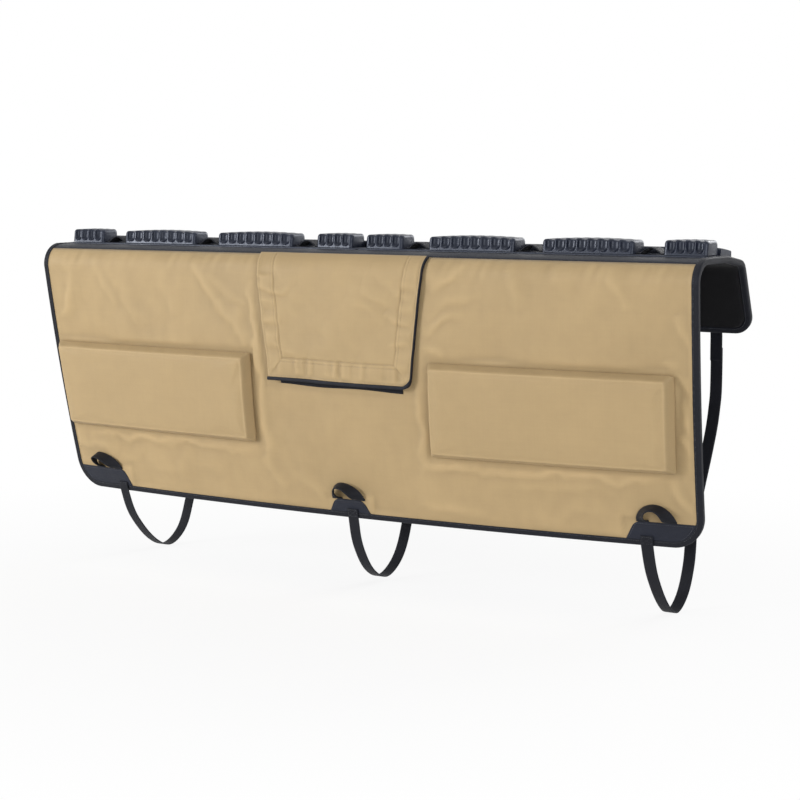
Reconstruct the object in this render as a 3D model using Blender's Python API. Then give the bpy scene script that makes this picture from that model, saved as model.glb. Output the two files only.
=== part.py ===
"""Padded cover that hangs over a pickup tailgate, with slots for bicycles along its top.

Metres, +Z up. X runs across the truck and -Y is the outside. The origin is on the inner skin,
in the middle of the flat run that lies on the tailgate's top edge.

A place on the pad is (x, t, n): t is the arc length along the inner skin from the origin,
negative down the front and positive down the back, and n is the height above that skin. Down the
front the pad narrows a little and its sides sweep back, so x is the place across before both.
"""
import functools
import math

import bmesh
import bpy
from mathutils import Vector

GAP = 0.0003

PAD_WIDTH = 1.56
PANEL_THICKNESS = 0.0095
LINING_THICKNESS = 0.002
CORNER_RADIUS = 0.060
BACK_CORNER_RADIUS = 0.035

SEAT_DEPTH = 0.084
FRONT_SHOULDER_RADIUS = 0.033
FRONT_LEAN = math.radians(-2)
FRONT_DROP = 0.497
FRONT_BOW = math.radians(15)
FRONT_SWEEP = 0.049
FRONT_SWEEP_LEVEL = 0.2
FRONT_TAPER = 0.027
SEAM_TURN = math.radians(36)
EASE_RADIUS = 0.060
BACK_SLOPE = math.radians(9)
SLOPE_RUN = 0.054
BACK_SHOULDER_RADIUS = 0.012
BACK_FLARE = math.radians(20)
BACK_DROP = 0.130

TAPE_THICKNESS = 0.0012
TAPE_LIP = 0.011
LIP_CLEARANCE = 0.001

FLAP_TOP_WIDTH = 0.408
FLAP_BOTTOM_WIDTH = 0.356
FLAP_LENGTH = 0.2488
FLAP_THICKNESS = 0.004
FLAP_CORNER_RADIUS = 0.022
FLAP_TAPE_LIP = 0.004
FLAP_TAPE_START = 0.014
CLOSURE_WIDTH = 0.310
CLOSURE_HEIGHT = 0.034
CLOSURE_SHOWING = 0.010
CLOSURE_THICKNESS = 0.002
OPENING_WIDTH = 0.270
OPENING_HEIGHT = 0.120
OPENING_BELOW_SEAM = 0.0808

RAISED_FROM_SIDE = {"left": 0.021, "right": 0.050}
RAISED_HEIGHT = 0.178
RAISED_THICKNESS = 0.024
RAISED_LIFT = 0.0003
RAISED_BEVEL = 0.008
RAISED_INNER_X = 0.222
RAISED_ABOVE_EDGE = 0.149
RAISED_SHOULDER = 0.55
RAISED_EDGE = 0.80
RAISED_RIM = 0.25

PATCH_THICKNESS = 0.0012
PATCH_WIDTH = {"left": 0.1675, "right": 0.154}
PATCH_INNER_SLANT = 0.019
PATCH_HEIGHT = 0.047
MIDDLE_PATCH_BOTTOM = 0.100
MIDDLE_PATCH_TOP = 0.070
MIDDLE_PATCH_HEIGHT = 0.038
MIDDLE_SHIFT = 0.004

WEBBING_WIDTH = 0.025
WEBBING_THICKNESS = 0.0022
LOOP_SPREAD = 0.048
LOOP_HEIGHT = 0.034
LOOP_FOOT = 0.003
LOOP_CLEARANCE = 0.004
LOOP_LIFT = 0.0004
LOOP_TWIST = math.radians(75)
LOOP_FROM_SIDE = {"left": 0.104, "right": 0.090}
LOOP_SKEW = {"left": -0.018, "middle": -0.008, "right": 0.0}

STRAP_FROM_SIDE = {"left": 0.141, "right": 0.111}
STRAP_MIDDLE_X = 0.011
STRAP_SEWN = 0.019
STRAP_HANG = {"left": 0.139, "middle": 0.134, "right": 0.142}
STRAP_REACH = {"left": 0.215, "middle": 0.185, "right": 0.165}
STRAP_DRIFT = {"left": 0.031, "middle": 0.010, "right": -0.005}
STRAP_BOW = {
    "left": ((0.11, 0.40), (0.35, 0.82), (0.60, 1.0), (0.83, 0.80), (0.96, 0.38)),
    "middle": ((0.07, 0.40), (0.26, 0.82), (0.52, 1.0), (0.79, 0.80), (0.96, 0.38)),
    "right": ((0.11, 0.40), (0.34, 0.82), (0.57, 1.0), (0.81, 0.80), (0.96, 0.38)),
}
TAB_FROM_SIDE = 0.080
TAB_MIDDLE_X = -0.008
TAB_SEWN = 0.045
TAB_HANGING = 0.050
TAB_OVERLAP_STEPS = 4

LONG_BLOCK = 0.197
SHORT_BLOCK = 0.091
SLOT_WIDTH = 0.058
CENTRE_GAP = 0.030
BLOCK_DEPTH = 0.052
BLOCK_HEIGHT = 0.028
BLOCK_DRAFT = 0.004
BLOCK_SIDE_DRAFT = 0.4
BLOCK_CORNER_RADIUS = 0.006
BLOCK_TOP_EDGE = 0.004
BLOCK_FRONT_Y = -0.011
FLUTE_PITCH = 0.0215
FLUTE_MARGIN = 0.0075
FLUTE_SHARE = 0.85
FLUTE_DEPTH = 0.008
FLUTE_FOOT = 0.003

RAIL_THICKNESS = 0.003
RAIL_FRONT_LIP = 0.006
RAIL_END_LIP = 0.002
RAIL_SPLIT = 0.004
REAR_BAR_DEPTH = 0.046
REAR_BAR_HEIGHT = 0.016
REAR_BAR_EDGE = 0.004

FRAME_STRAP_WIDTH = 0.032
FRAME_STRAP_THICKNESS = 0.0025
FRAME_STRAP_ARCH = 0.011
FRAME_STRAP_FOOT = 0.008

BEND_STEP = math.radians(13)
COLUMN_SHARES = (0.359, 0.551, 0.737, 0.897)
BOW_STEPS = 8
ROW_SPACING = 0.0022
CORNER_STEPS = 5
FLAT_LIMIT = math.radians(0.005)

PANEL_LOW = LINING_THICKNESS + GAP
LAMINATE = PANEL_LOW + PANEL_THICKNESS
ON_PANEL = LAMINATE + GAP
TRIM_INSET = TAPE_LIP + LIP_CLEARANCE
ON_TRIM = ON_PANEL + max(TAPE_THICKNESS, PATCH_THICKNESS) + GAP
RAIL_TOP = ON_PANEL + RAIL_THICKNESS
ON_RAIL = RAIL_TOP + GAP
SIDE = PAD_WIDTH / 2
HALF_COLUMNS = [OPENING_WIDTH / 2] + [SIDE * share for share in COLUMN_SHARES]
COLUMNS = [-x for x in reversed(HALF_COLUMNS)] + [0.0] + HALF_COLUMNS
RAISED_WIDTH = {name: SIDE - RAISED_INNER_X - inset for name, inset in RAISED_FROM_SIDE.items()}
LOOP_X = {"left": LOOP_FROM_SIDE["left"] - SIDE, "middle": MIDDLE_SHIFT, "right": SIDE - LOOP_FROM_SIDE["right"]}
STRAP_X = {
    "left": STRAP_FROM_SIDE["left"] - SIDE,
    "middle": STRAP_MIDDLE_X,
    "right": SIDE - STRAP_FROM_SIDE["right"],
}
TAB_X = {"left": TAB_FROM_SIDE - SIDE, "middle": TAB_MIDDLE_X, "right": SIDE - TAB_FROM_SIDE}

FRONT_RUNS = (
    (SEAT_DEPTH / 2, 0.0),
    (FRONT_SHOULDER_RADIUS * (math.pi / 2 + FRONT_LEAN), math.pi / 2 + FRONT_LEAN),
    (FRONT_DROP, FRONT_BOW),
)
FOLD_TURN = math.pi / 2 - BACK_SLOPE - BACK_FLARE
BACK_RUNS = (
    (SEAT_DEPTH / 2, 0.0),
    (EASE_RADIUS * BACK_SLOPE, BACK_SLOPE),
    (SLOPE_RUN, 0.0),
    (BACK_SHOULDER_RADIUS * FOLD_TURN, FOLD_TURN),
    (BACK_DROP, 0.0),
)
FRONT_END = -sum(length for length, _ in FRONT_RUNS)
BACK_END = sum(length for length, _ in BACK_RUNS)
SEAM = -(SEAT_DEPTH / 2 + FRONT_SHOULDER_RADIUS * SEAM_TURN)
FOLD = BACK_END - BACK_DROP
FLAP_END = SEAM - FLAP_LENGTH
OPENING_TOP = SEAM - OPENING_BELOW_SEAM
OPENING_LOW = OPENING_TOP - OPENING_HEIGHT

COLORS = {
    "sand_fabric": ((0.54, 0.40, 0.22), 0.55),
    "navy_fabric": ((0.020, 0.024, 0.034), 0.65),
    "lining_fleece": ((0.010, 0.010, 0.012), 0.95),
    "webbing": ((0.014, 0.016, 0.022), 0.75),
    "moulded_foam": ((0.035, 0.039, 0.052), 0.45),
}


def clear_scene():
    """Removes what the file held before."""
    for item in list(bpy.data.objects):
        bpy.data.objects.remove(item, do_unlink=True)


def finish_of(name, kind):
    """A material for one piece, in the colour and roughness of its kind."""
    color, roughness = COLORS[kind]
    made = bpy.data.materials.new(name + "_" + kind)
    made.use_nodes = True
    shader = made.node_tree.nodes["Principled BSDF"]
    shader.inputs["Base Color"].default_value = (*color, 1.0)
    shader.inputs["Roughness"].default_value = roughness
    return made


def add_piece(name, shape, kind, smooth_angle=40):
    """Turns a bmesh into a named object with its own material."""
    bmesh.ops.recalc_face_normals(shape, faces=shape.faces)
    mesh = bpy.data.meshes.new(name)
    shape.to_mesh(mesh)
    shape.free()
    mesh.shade_smooth()
    mesh.set_sharp_from_angle(angle=math.radians(smooth_angle))
    mesh.materials.append(finish_of(name, kind))
    piece = bpy.data.objects.new(name, mesh)
    bpy.context.scene.collection.objects.link(piece)
    return piece


def skin(t):
    """Depth, height and downward heading of the inner skin at arc length t."""
    runs = FRONT_RUNS if t < 0 else BACK_RUNS
    depth, height, heading = 0.0, 0.0, 0.0
    left = abs(t)
    for length, turn in runs:
        step = min(left, length)
        part = turn * step / length
        if part:
            radius = length / turn
            depth += radius * (math.sin(heading + part) - math.sin(heading))
            height -= radius * (math.cos(heading) - math.cos(heading + part))
        else:
            depth += step * math.cos(heading)
            height -= step * math.sin(heading)
        heading += part
        left -= step
    depth += left * math.cos(heading)
    height -= left * math.sin(heading)
    return depth, height, heading


def front_share(t):
    """How far down the front t lies, from 0 at the shoulder's end to 1 at the bottom edge."""
    start = FRONT_RUNS[0][0] + FRONT_RUNS[1][0]
    return max(0.0, (-t - start) / FRONT_DROP)


def place(x, t, n):
    """The point at (x, t, n) on the pad."""
    depth, height, heading = skin(t)
    side = -1 if t < 0 else 1
    down = front_share(t)
    bowed = (x * 2 / PAD_WIDTH) ** 2 - FRONT_SWEEP_LEVEL
    y = side * (depth + n * math.sin(heading)) + FRONT_SWEEP * bowed * down * (2 - down)
    return Vector((x * (1 - FRONT_TAPER * down), y, height + n * math.cos(heading)))


def surface_at(x, t):
    """Unit directions across the pad, along t, and away from it, at (x, t)."""
    step = GAP
    across = (place(x + step, t, 0) - place(x - step, t, 0)).normalized()
    along = (place(x, t + step, 0) - place(x, t - step, 0)).normalized()
    return across, along, across.cross(along).normalized()


def half_width(t, inset=0.0):
    """Half the pad's width at t, drawn in by inset and rounded at its four corners."""
    half = PAD_WIDTH / 2 - inset
    for depth, radius in ((t - FRONT_END, CORNER_RADIUS), (BACK_END - t, BACK_CORNER_RADIUS)):
        reach = radius - inset
        into = reach - (depth - inset)
        if into > 0:
            half -= reach - math.sqrt(max(0.0, reach * reach - into * into))
    return half


def corner_depths(radius, inset=0.0):
    """Distances from an edge at which a rounded corner needs a row."""
    reach = radius - inset
    turns = [math.pi / 2 * k / CORNER_STEPS for k in range(CORNER_STEPS + 1)]
    return [inset + reach * (1 - math.cos(turn)) for turn in turns]


def bend_rows():
    """Arc lengths at which the skin bends."""
    rows = [0.0]
    for side, runs in ((-1, FRONT_RUNS), (1, BACK_RUNS)):
        along = 0.0
        for length, turn in runs:
            steps = max(1, math.ceil(turn / BEND_STEP))
            if (length, turn) == (FRONT_DROP, FRONT_BOW):
                steps = BOW_STEPS
            rows += [side * (along + length * k / steps) for k in range(1, steps + 1)]
            along += length
    return rows


def merge_rows(kept, more, spacing):
    """The kept rows with those of the others that lie clear of them."""
    rows = list(kept)
    for t in more:
        if all(abs(t - other) > spacing for other in rows):
            rows.append(t)
    return sorted(rows)


def shared_rows():
    """Rows that every layer of the pad has in common, so that no layer cuts another's chord."""
    rows = [FRONT_END + depth for depth in corner_depths(CORNER_RADIUS)]
    rows += [BACK_END - depth for depth in corner_depths(BACK_CORNER_RADIUS)]
    rows += [SEAM, OPENING_TOP, OPENING_LOW, FOLD]
    return merge_rows(rows, bend_rows(), ROW_SPACING)


def rows_between(low, high, own=()):
    """Rows from low to high: both ends, the sheet's own, and the shared ones."""
    ends = [low, high] + [t for t in own if low < t < high]
    return merge_rows(ends, [t for t in shared_rows() if low < t < high], ROW_SPACING / 3)


def height_at(value, x, t):
    """A height that is either fixed or a function of the place."""
    return value(x, t) if callable(value) else value


def columns_between(left, right, own=()):
    """Columns from left to right: both ends, the sheet's own, and the shared ones that lie clear."""
    ends = [left, right] + list(own)
    return merge_rows(ends, [x for x in COLUMNS if left < x < right], 2 * ROW_SPACING)


def add_sheet(name, kind, rows, columns_at, low, high, hole=None):
    """Closed sheet over the pad between heights low and high; columns_at(t) lists its places across."""
    shape = bmesh.new()
    skins = []
    for level in (low, high):
        grid = []
        for t in rows:
            line = columns_at(t)
            grid.append([shape.verts.new(place(x, t, height_at(level, x, t))) for x in line])
        skins.append(grid)
    border = {}
    for i in range(len(rows) - 1):
        first, second = columns_at(rows[i]), columns_at(rows[i + 1])
        for j in range(len(first) - 1):
            middle = (first[j] + first[j + 1] + second[j] + second[j + 1]) / 4
            if hole and hole(middle, (rows[i] + rows[i + 1]) / 2):
                continue
            loop = ((i, j), (i, j + 1), (i + 1, j + 1), (i + 1, j))
            for grid in skins:
                shape.faces.new([grid[a][b] for a, b in loop])
            for start, end in zip(loop, loop[1:] + loop[:1]):
                edge = tuple(sorted((start, end)))
                border[edge] = border.get(edge, 0) + 1
    for ((a, b), (c, d)), uses in border.items():
        if uses == 1:
            bottom, top = skins
            shape.faces.new((bottom[a][b], bottom[c][d], top[c][d], top[a][b]))
    loose = [vert for vert in shape.verts if not vert.link_faces]
    bmesh.ops.delete(shape, geom=loose, context="VERTS")
    bmesh.ops.dissolve_limit(shape, angle_limit=FLAT_LIMIT, verts=shape.verts, edges=shape.edges)
    return add_piece(name, shape, kind)


def add_loft(name, kind, rings, closed=False):
    """Closed solid through rings of points, capped unless it runs back into itself."""
    shape = bmesh.new()
    loops = [[shape.verts.new(point) for point in ring] for ring in rings]
    pairs = list(zip(loops, loops[1:]))
    if closed:
        pairs.append((loops[-1], loops[0]))
    for first, second in pairs:
        for k in range(len(first)):
            after = (k + 1) % len(first)
            shape.faces.new((first[k], first[after], second[after], second[k]))
    if not closed:
        shape.faces.new(loops[0])
        shape.faces.new(list(reversed(loops[-1])))
    return add_piece(name, shape, kind)


def add_tape(name, outline, closed, low, high, lip):
    """Tape folded over a sheet's edge; outline lists (x, t) with the sheet on its left."""
    wrap = GAP + TAPE_THICKNESS
    rings = []
    count = len(outline)
    for k, (x, t) in enumerate(outline):
        before = outline[k - 1] if closed or k else outline[k]
        after = outline[(k + 1) % count] if closed or k < count - 1 else outline[k]
        run = math.hypot(after[0] - before[0], after[1] - before[1])
        out_x, out_t = (after[1] - before[1]) / run, (before[0] - after[0]) / run
        bottom, top = height_at(low, x, t), height_at(high, x, t)
        section = (
            (-lip, top + wrap),
            (wrap, top + wrap),
            (wrap, bottom - wrap),
            (-lip, bottom - wrap),
            (-lip, bottom - GAP),
            (GAP, bottom - GAP),
            (GAP, top + GAP),
            (-lip, top + GAP),
        )
        rings.append([place(x + out_x * d, t + out_t * d, n) for d, n in section])
    return add_loft(name, "navy_fabric", rings, closed)


def add_ribbon(name, path, sides, width=WEBBING_WIDTH, thickness=WEBBING_THICKNESS):
    """Flat webbing along a path; sides gives the direction of its width at each point."""
    rings = []
    for k, point in enumerate(path):
        tangent = path[min(k + 1, len(path) - 1)] - path[max(k - 1, 0)]
        across = sides[k].normalized() * width / 2
        through = tangent.cross(across).normalized() * thickness / 2
        rings.append([point + a * across + b * through for a, b in ((1, 1), (-1, 1), (-1, -1), (1, -1))])
    return add_loft(name, "webbing", rings)


def smooth_path(points, steps):
    """Points along a smooth curve through the given ones."""
    ends = [points[0] * 2 - points[1]] + points + [points[-1] * 2 - points[-2]]
    path = []
    for k in range(1, len(ends) - 2):
        a, b, c, d = ends[k - 1 : k + 3]
        for step in range(steps):
            u = step / steps
            square = (a * 2 - b * 5 + c * 4 - d) * u * u / 2
            cube = (b * 3 - a - c * 3 + d) * u**3 / 2
            path.append(b + (c - a) * u / 2 + square + cube)
    path.append(points[-1])
    return path


def pad_outline():
    """The whole pad's outline, with the pad on its left."""
    right = [(half_width(t), t) for t in shared_rows()]
    hem = [(x, FRONT_END) for x in COLUMNS]
    return hem + right + [(-x, t) for x, t in reversed(right)]


def build_panels():
    """The three padded panels of the cover, their lining and the tape round the edge."""

    def across(t, inset=0.0):
        return [-half_width(t, inset)] + list(COLUMNS) + [half_width(t, inset)]

    def sides(t):
        return [-half_width(t), half_width(t)]

    def lining_across(t):
        return across(t, TRIM_INSET)

    def in_opening(x, t):
        return abs(x) < OPENING_WIDTH / 2 and OPENING_LOW < t < OPENING_TOP

    rows = rows_between(FRONT_END, SEAM)
    add_sheet("front_panel", "sand_fabric", rows, across, PANEL_LOW, LAMINATE, in_opening)
    rows = rows_between(SEAM + GAP, FOLD - GAP / 2)
    add_sheet("top_panel", "navy_fabric", rows, sides, PANEL_LOW, LAMINATE)
    rows = rows_between(FOLD + GAP / 2, BACK_END)
    add_sheet("back_flap", "navy_fabric", rows, sides, PANEL_LOW, LAMINATE)
    low, high = FRONT_END + TRIM_INSET, BACK_END - TRIM_INSET
    corners = [FRONT_END + depth for depth in corner_depths(CORNER_RADIUS, TRIM_INSET)]
    corners += [BACK_END - depth for depth in corner_depths(BACK_CORNER_RADIUS, TRIM_INSET)]
    rows = rows_between(low, high, corners)
    add_sheet("lining", "lining_fleece", rows, lining_across, 0.0, LINING_THICKNESS, in_opening)
    add_tape("edge_binding", pad_outline(), True, PANEL_LOW, LAMINATE, TAPE_LIP)


def flap_low(_, t):
    """Height of the access flap's underside: clear of its tape, and up onto the closure strip."""
    into = SEAM - t
    tape = (TAPE_THICKNESS + 2 * GAP) * min(1.0, into / FLAP_TAPE_START)
    strip = CLOSURE_THICKNESS * min(1.0, into / (FLAP_LENGTH - CLOSURE_HEIGHT + CLOSURE_SHOWING))
    return ON_PANEL + tape + strip


def flap_high(x, t):
    """Height of the access flap's face."""
    return flap_low(x, t) + FLAP_THICKNESS


def flap_sides(t):
    """The access flap's left and right edges at t, with its lower right corner rounded."""
    share = (SEAM - t) / FLAP_LENGTH
    half = (FLAP_TOP_WIDTH + (FLAP_BOTTOM_WIDTH - FLAP_TOP_WIDTH) * share) / 2
    into = FLAP_CORNER_RADIUS - (t - FLAP_END)
    cut = FLAP_CORNER_RADIUS - math.sqrt(max(0.0, FLAP_CORNER_RADIUS**2 - into**2)) if into > 0 else 0.0
    return -half, half - cut


def build_access_flap():
    """The flap over the opening, its edge tape, and the strip that it closes on."""
    corner = [FLAP_END + depth for depth in corner_depths(FLAP_CORNER_RADIUS)]
    start = SEAM - FLAP_TAPE_START
    rows = rows_between(FLAP_END, SEAM - GAP, corner[1:] + [start])
    inner = [x for x in COLUMNS if abs(x) < FLAP_BOTTOM_WIDTH / 2 - FLAP_CORNER_RADIUS]

    def across(t):
        left, right = flap_sides(t)
        return [left] + inner + [right]

    add_sheet("access_flap", "sand_fabric", rows, across, flap_low, flap_high)
    edge = [(flap_sides(FLAP_END)[0] + GAP, FLAP_END)] + [(x, FLAP_END) for x in inner]
    edge += [(flap_sides(t)[1], t) for t in rows if t <= start]
    add_tape("flap_binding", edge, False, flap_low, flap_high, FLAP_TAPE_LIP)
    low = FLAP_END - CLOSURE_SHOWING
    rows = rows_between(low, low + CLOSURE_HEIGHT)
    columns = columns_between(-CLOSURE_WIDTH / 2, CLOSURE_WIDTH / 2)
    top = ON_PANEL + CLOSURE_THICKNESS
    add_sheet("flap_closure_strip", "webbing", rows, lambda t: columns, ON_PANEL, top)


def build_raised_pad(side_name, side):
    """One raised foam pad: a rectangle with sloped sides on the front panel."""
    inner = RAISED_INNER_X - RAISED_BEVEL
    outer = RAISED_INNER_X + RAISED_WIDTH[side_name] + RAISED_BEVEL
    low = FRONT_END + RAISED_ABOVE_EDGE - RAISED_BEVEL
    high = FRONT_END + RAISED_ABOVE_EDGE + RAISED_HEIGHT + RAISED_BEVEL
    base = ON_PANEL + RAISED_LIFT
    shoulder = RAISED_BEVEL * RAISED_SHOULDER
    steps = (shoulder, RAISED_BEVEL)
    rows = rows_between(low, high, [low + d for d in steps] + [high - d for d in steps])
    right = columns_between(inner, outer, [inner + d for d in steps] + [outer - d for d in steps])
    columns = [x * side for x in right][::side]

    def top(x, t):
        into = max(0.0, min(abs(x) - inner, outer - abs(x), t - low, high - t))
        if into < shoulder:
            share = RAISED_RIM + (RAISED_EDGE - RAISED_RIM) * into / shoulder
        else:
            rest = min(1.0, (into - shoulder) / (RAISED_BEVEL - shoulder))
            share = RAISED_EDGE + (1 - RAISED_EDGE) * rest
        return base + RAISED_THICKNESS * share

    return add_sheet("raised_pad_" + side_name, "sand_fabric", rows, lambda t: columns, base, top)


def build_patches():
    """The dark reinforcements at the front's bottom edge."""
    low = FRONT_END + TRIM_INSET
    corner = [FRONT_END + depth for depth in corner_depths(CORNER_RADIUS, TRIM_INSET)]
    top = FRONT_END + PATCH_HEIGHT
    shared = COLUMNS[-1]

    def corner_sides(side_name, t):
        inner = SIDE - PATCH_WIDTH[side_name] + PATCH_INNER_SLANT * (t - low) / (top - low)
        line = [inner, shared, half_width(t, TRIM_INSET)]
        return line if side_name == "right" else [-x for x in reversed(line)]

    rows = rows_between(low, top, corner[1:])
    height = ON_PANEL + PATCH_THICKNESS
    for side_name in PATCH_WIDTH:
        columns_at = functools.partial(corner_sides, side_name)
        add_sheet("corner_patch_" + side_name, "navy_fabric", rows, columns_at, ON_PANEL, height)

    middle_top = FRONT_END + MIDDLE_PATCH_HEIGHT

    def middle_sides(t):
        share = (t - low) / (middle_top - low)
        half = (MIDDLE_PATCH_BOTTOM + (MIDDLE_PATCH_TOP - MIDDLE_PATCH_BOTTOM) * share) / 2
        return [MIDDLE_SHIFT - half, 0.0, MIDDLE_SHIFT + half]

    rows = rows_between(low, middle_top)
    add_sheet("middle_patch", "navy_fabric", rows, middle_sides, ON_PANEL, height)


def build_pull_loop(side_name, x, foot):
    """A webbing loop whose feet lie flat on the panel and whose crown stands on edge."""
    flat = ON_PANEL + WEBBING_THICKNESS / 2 + LOOP_LIFT
    knee = foot + LOOP_FOOT
    steps = 12
    path, sides = [], []
    for k in range(steps + 1):
        angle = math.pi * k / steps
        twist = LOOP_TWIST * math.sin(angle)
        reach = x - LOOP_SPREAD / 2 * math.cos(angle) + LOOP_SKEW[side_name] * math.sin(angle) ** 2
        t = knee + (LOOP_HEIGHT - LOOP_FOOT) * math.sin(angle)
        path.append(place(reach, t, flat + (WEBBING_WIDTH / 2 + LOOP_CLEARANCE) * math.sin(twist)))
        across, along, out = surface_at(reach, t)
        run = across * math.sin(angle) + along * math.cos(angle)
        sides.append(run.cross(out).normalized() * math.cos(twist) + out * math.sin(twist))
    first = place(x - LOOP_SPREAD / 2, foot, flat)
    last = place(x + LOOP_SPREAD / 2, foot, flat)
    return add_ribbon("pull_loop_" + side_name, [first] + path + [last], [sides[0]] + sides + [sides[-1]])


def build_strap(side_name):
    """Webbing that hangs in a loop under the front edge, and the tab on the back flap that it joins."""
    across = Vector((1, 0, 0))
    flat = ON_TRIM + WEBBING_THICKNESS / 2
    x, tab_x = STRAP_X[side_name], TAB_X[side_name]
    edge = place(tab_x, BACK_END + TAPE_LIP, flat)
    end = edge + Vector((0, 0, -TAB_HANGING))
    corners = [place(tab_x, BACK_END - TAB_SEWN, flat), place(tab_x, BACK_END, flat), edge, edge.lerp(end, 0.5), end]
    tab = smooth_path(corners, 3)
    add_ribbon("strap_tab_" + side_name, tab, [across] * len(tab))

    behind = Vector((0, WEBBING_THICKNESS + GAP, 0))
    joined = [point + behind for point in reversed(tab[-TAB_OVERLAP_STEPS:])]
    reach, bow = STRAP_REACH[side_name], STRAP_BOW[side_name]
    hem = place(x, FRONT_END - GAP - TAPE_THICKNESS, flat)
    rear = Vector((x + STRAP_DRIFT[side_name], hem.y + reach, hem.z))
    rise = joined[0].z - rear.z
    loop = [
        place(x, FRONT_END + STRAP_SEWN, flat),
        hem,
        *(hem.lerp(rear, share) - Vector((0, 0, STRAP_HANG[side_name] * fall)) for share, fall in bow),
        rear + Vector((0, reach * 0.06, rise * 0.10)),
        rear.lerp(joined[0], 0.6) + Vector((0, reach * 0.14, 0)),
        joined[0] + behind * 2 - Vector((0, 0, WEBBING_WIDTH)),
    ]
    path = smooth_path(loop, 3) + joined
    sewn_side = surface_at(x, FRONT_END)[0]
    sides = [sewn_side.lerp(across, min(1.0, max(0.0, (k - 3) / 6))) for k in range(len(path))]
    add_ribbon("tailgate_strap_" + side_name, path, sides)


def block_spans():
    """Left edge and width of each block, from left to right."""
    right = []
    x = CENTRE_GAP / 2
    for width in (SHORT_BLOCK, LONG_BLOCK, LONG_BLOCK, SHORT_BLOCK):
        right.append((x, width))
        x += width + SLOT_WIDTH
    left = [(-start - width, width) for start, width in reversed(right)]
    return left + right


def block_ring(left, width, z, inset, depth):
    """Outline of a block at height z, drawn in by inset, with flutes of the given depth in its front."""
    front, back = BLOCK_FRONT_Y + inset, BLOCK_FRONT_Y + BLOCK_DEPTH - inset * BLOCK_SIDE_DRAFT
    flutes = round((width - 2 * FLUTE_MARGIN) / FLUTE_PITCH)
    pitch = (width - 2 * FLUTE_MARGIN) / flutes
    first = left + FLUTE_MARGIN + pitch / 2
    right = left + width - inset * BLOCK_SIDE_DRAFT
    left += inset * BLOCK_SIDE_DRAFT
    radius = max(BLOCK_CORNER_RADIUS - inset, BLOCK_CORNER_RADIUS / 3)
    ring = []
    for centre_x, centre_y, start in (
        (right - radius, front + radius, -90),
        (right - radius, back - radius, 0),
        (left + radius, back - radius, 90),
        (left + radius, front + radius, 180),
    ):
        for step in range(3):
            angle = math.radians(start + 45 * step)
            ring.append(Vector((centre_x + radius * math.cos(angle), centre_y + radius * math.sin(angle), z)))
    share = math.sqrt(depth / FLUTE_DEPTH)
    for k in range(flutes):
        middle = first + pitch * k
        for u in (-1.0, -0.7, 0.0, 0.7, 1.0):
            reach = pitch * FLUTE_SHARE / 2 * max(share, 0.4) * u
            ring.append(Vector((middle + reach, front + depth * math.sqrt(1 - u * u), z)))
    return ring


def build_block(number, left, width):
    """One moulded block with round-bottomed flutes in its front face."""
    base = ON_RAIL
    top = base + BLOCK_HEIGHT
    rise = FLUTE_DEPTH * 0.8
    levels = (
        (base, 0.0, 0.0),
        (base + FLUTE_FOOT, 0.0, 0.0),
        (base + FLUTE_FOOT + rise * 0.35, 0.2, 0.7),
        (base + FLUTE_FOOT + rise, 0.4, 1.0),
        (top - BLOCK_TOP_EDGE, 1.0, 1.0),
        (top, 1.0, 1.0),
    )
    rings = []
    for z, draft, share in levels:
        inset = BLOCK_DRAFT * draft + (BLOCK_TOP_EDGE if z == top else 0.0)
        rings.append(block_ring(left, width, z, inset, FLUTE_DEPTH * share))
    return add_loft("block_%d" % number, "moulded_foam", rings)


def build_rail(name, side):
    """The moulded tray under one half of the blocks, with a low bar behind them."""
    front = BLOCK_FRONT_Y - RAIL_FRONT_LIP
    behind = BLOCK_FRONT_Y + BLOCK_DEPTH + GAP
    back = behind + REAR_BAR_DEPTH
    half_row = block_spans()[-1][0] + SHORT_BLOCK
    under = rows_between(front, back)
    section = [(t, ON_PANEL) for t in under]
    section += [(back, RAIL_TOP), (back - REAR_BAR_EDGE, ON_PANEL + REAR_BAR_HEIGHT)]
    bar = rows_between(behind + REAR_BAR_EDGE, back - REAR_BAR_EDGE)[1:-1]
    section += [(t, ON_PANEL + REAR_BAR_HEIGHT) for t in reversed(bar)]
    section += [(behind + REAR_BAR_EDGE, ON_PANEL + REAR_BAR_HEIGHT), (behind, RAIL_TOP)]
    section += [(front + RAIL_THICKNESS / 2, RAIL_TOP)]
    rings = []
    for x in (RAIL_SPLIT / 2, half_row + RAIL_END_LIP):
        rings.append([place(side * x, t, n) for t, n in section])
    return add_loft(name, "moulded_foam", rings)


def build_frame_strap(number, left):
    """A low strap arched across one slot."""
    middle = BLOCK_FRONT_Y + BLOCK_DEPTH / 2
    start, end = left + GAP, left + SLOT_WIDTH - GAP
    base = ON_RAIL + FRAME_STRAP_THICKNESS / 2
    spots = [(start, 0.0)]
    steps = 8
    for k in range(steps + 1):
        x = start + FRAME_STRAP_FOOT + (end - start - 2 * FRAME_STRAP_FOOT) * k / steps
        spots.append((x, FRAME_STRAP_ARCH * math.sin(math.pi * k / steps)))
    spots.append((end, 0.0))
    path = [Vector((x, middle, base + rise)) for x, rise in spots]
    sides = [Vector((0, 1, 0))] * len(path)
    return add_ribbon("frame_strap_%d" % number, path, sides, FRAME_STRAP_WIDTH, FRAME_STRAP_THICKNESS)


def build_row():
    """The rails, blocks and frame straps along the top."""
    build_rail("block_rail_left", -1)
    build_rail("block_rail_right", 1)
    spans = block_spans()
    for number, (left, width) in enumerate(spans, 1):
        build_block(number, left, width)
    slots = [spans[k][0] + spans[k][1] for k in (0, 1, 2, 4, 5, 6)]
    for number, left in enumerate(slots, 1):
        build_frame_strap(number, left)


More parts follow.
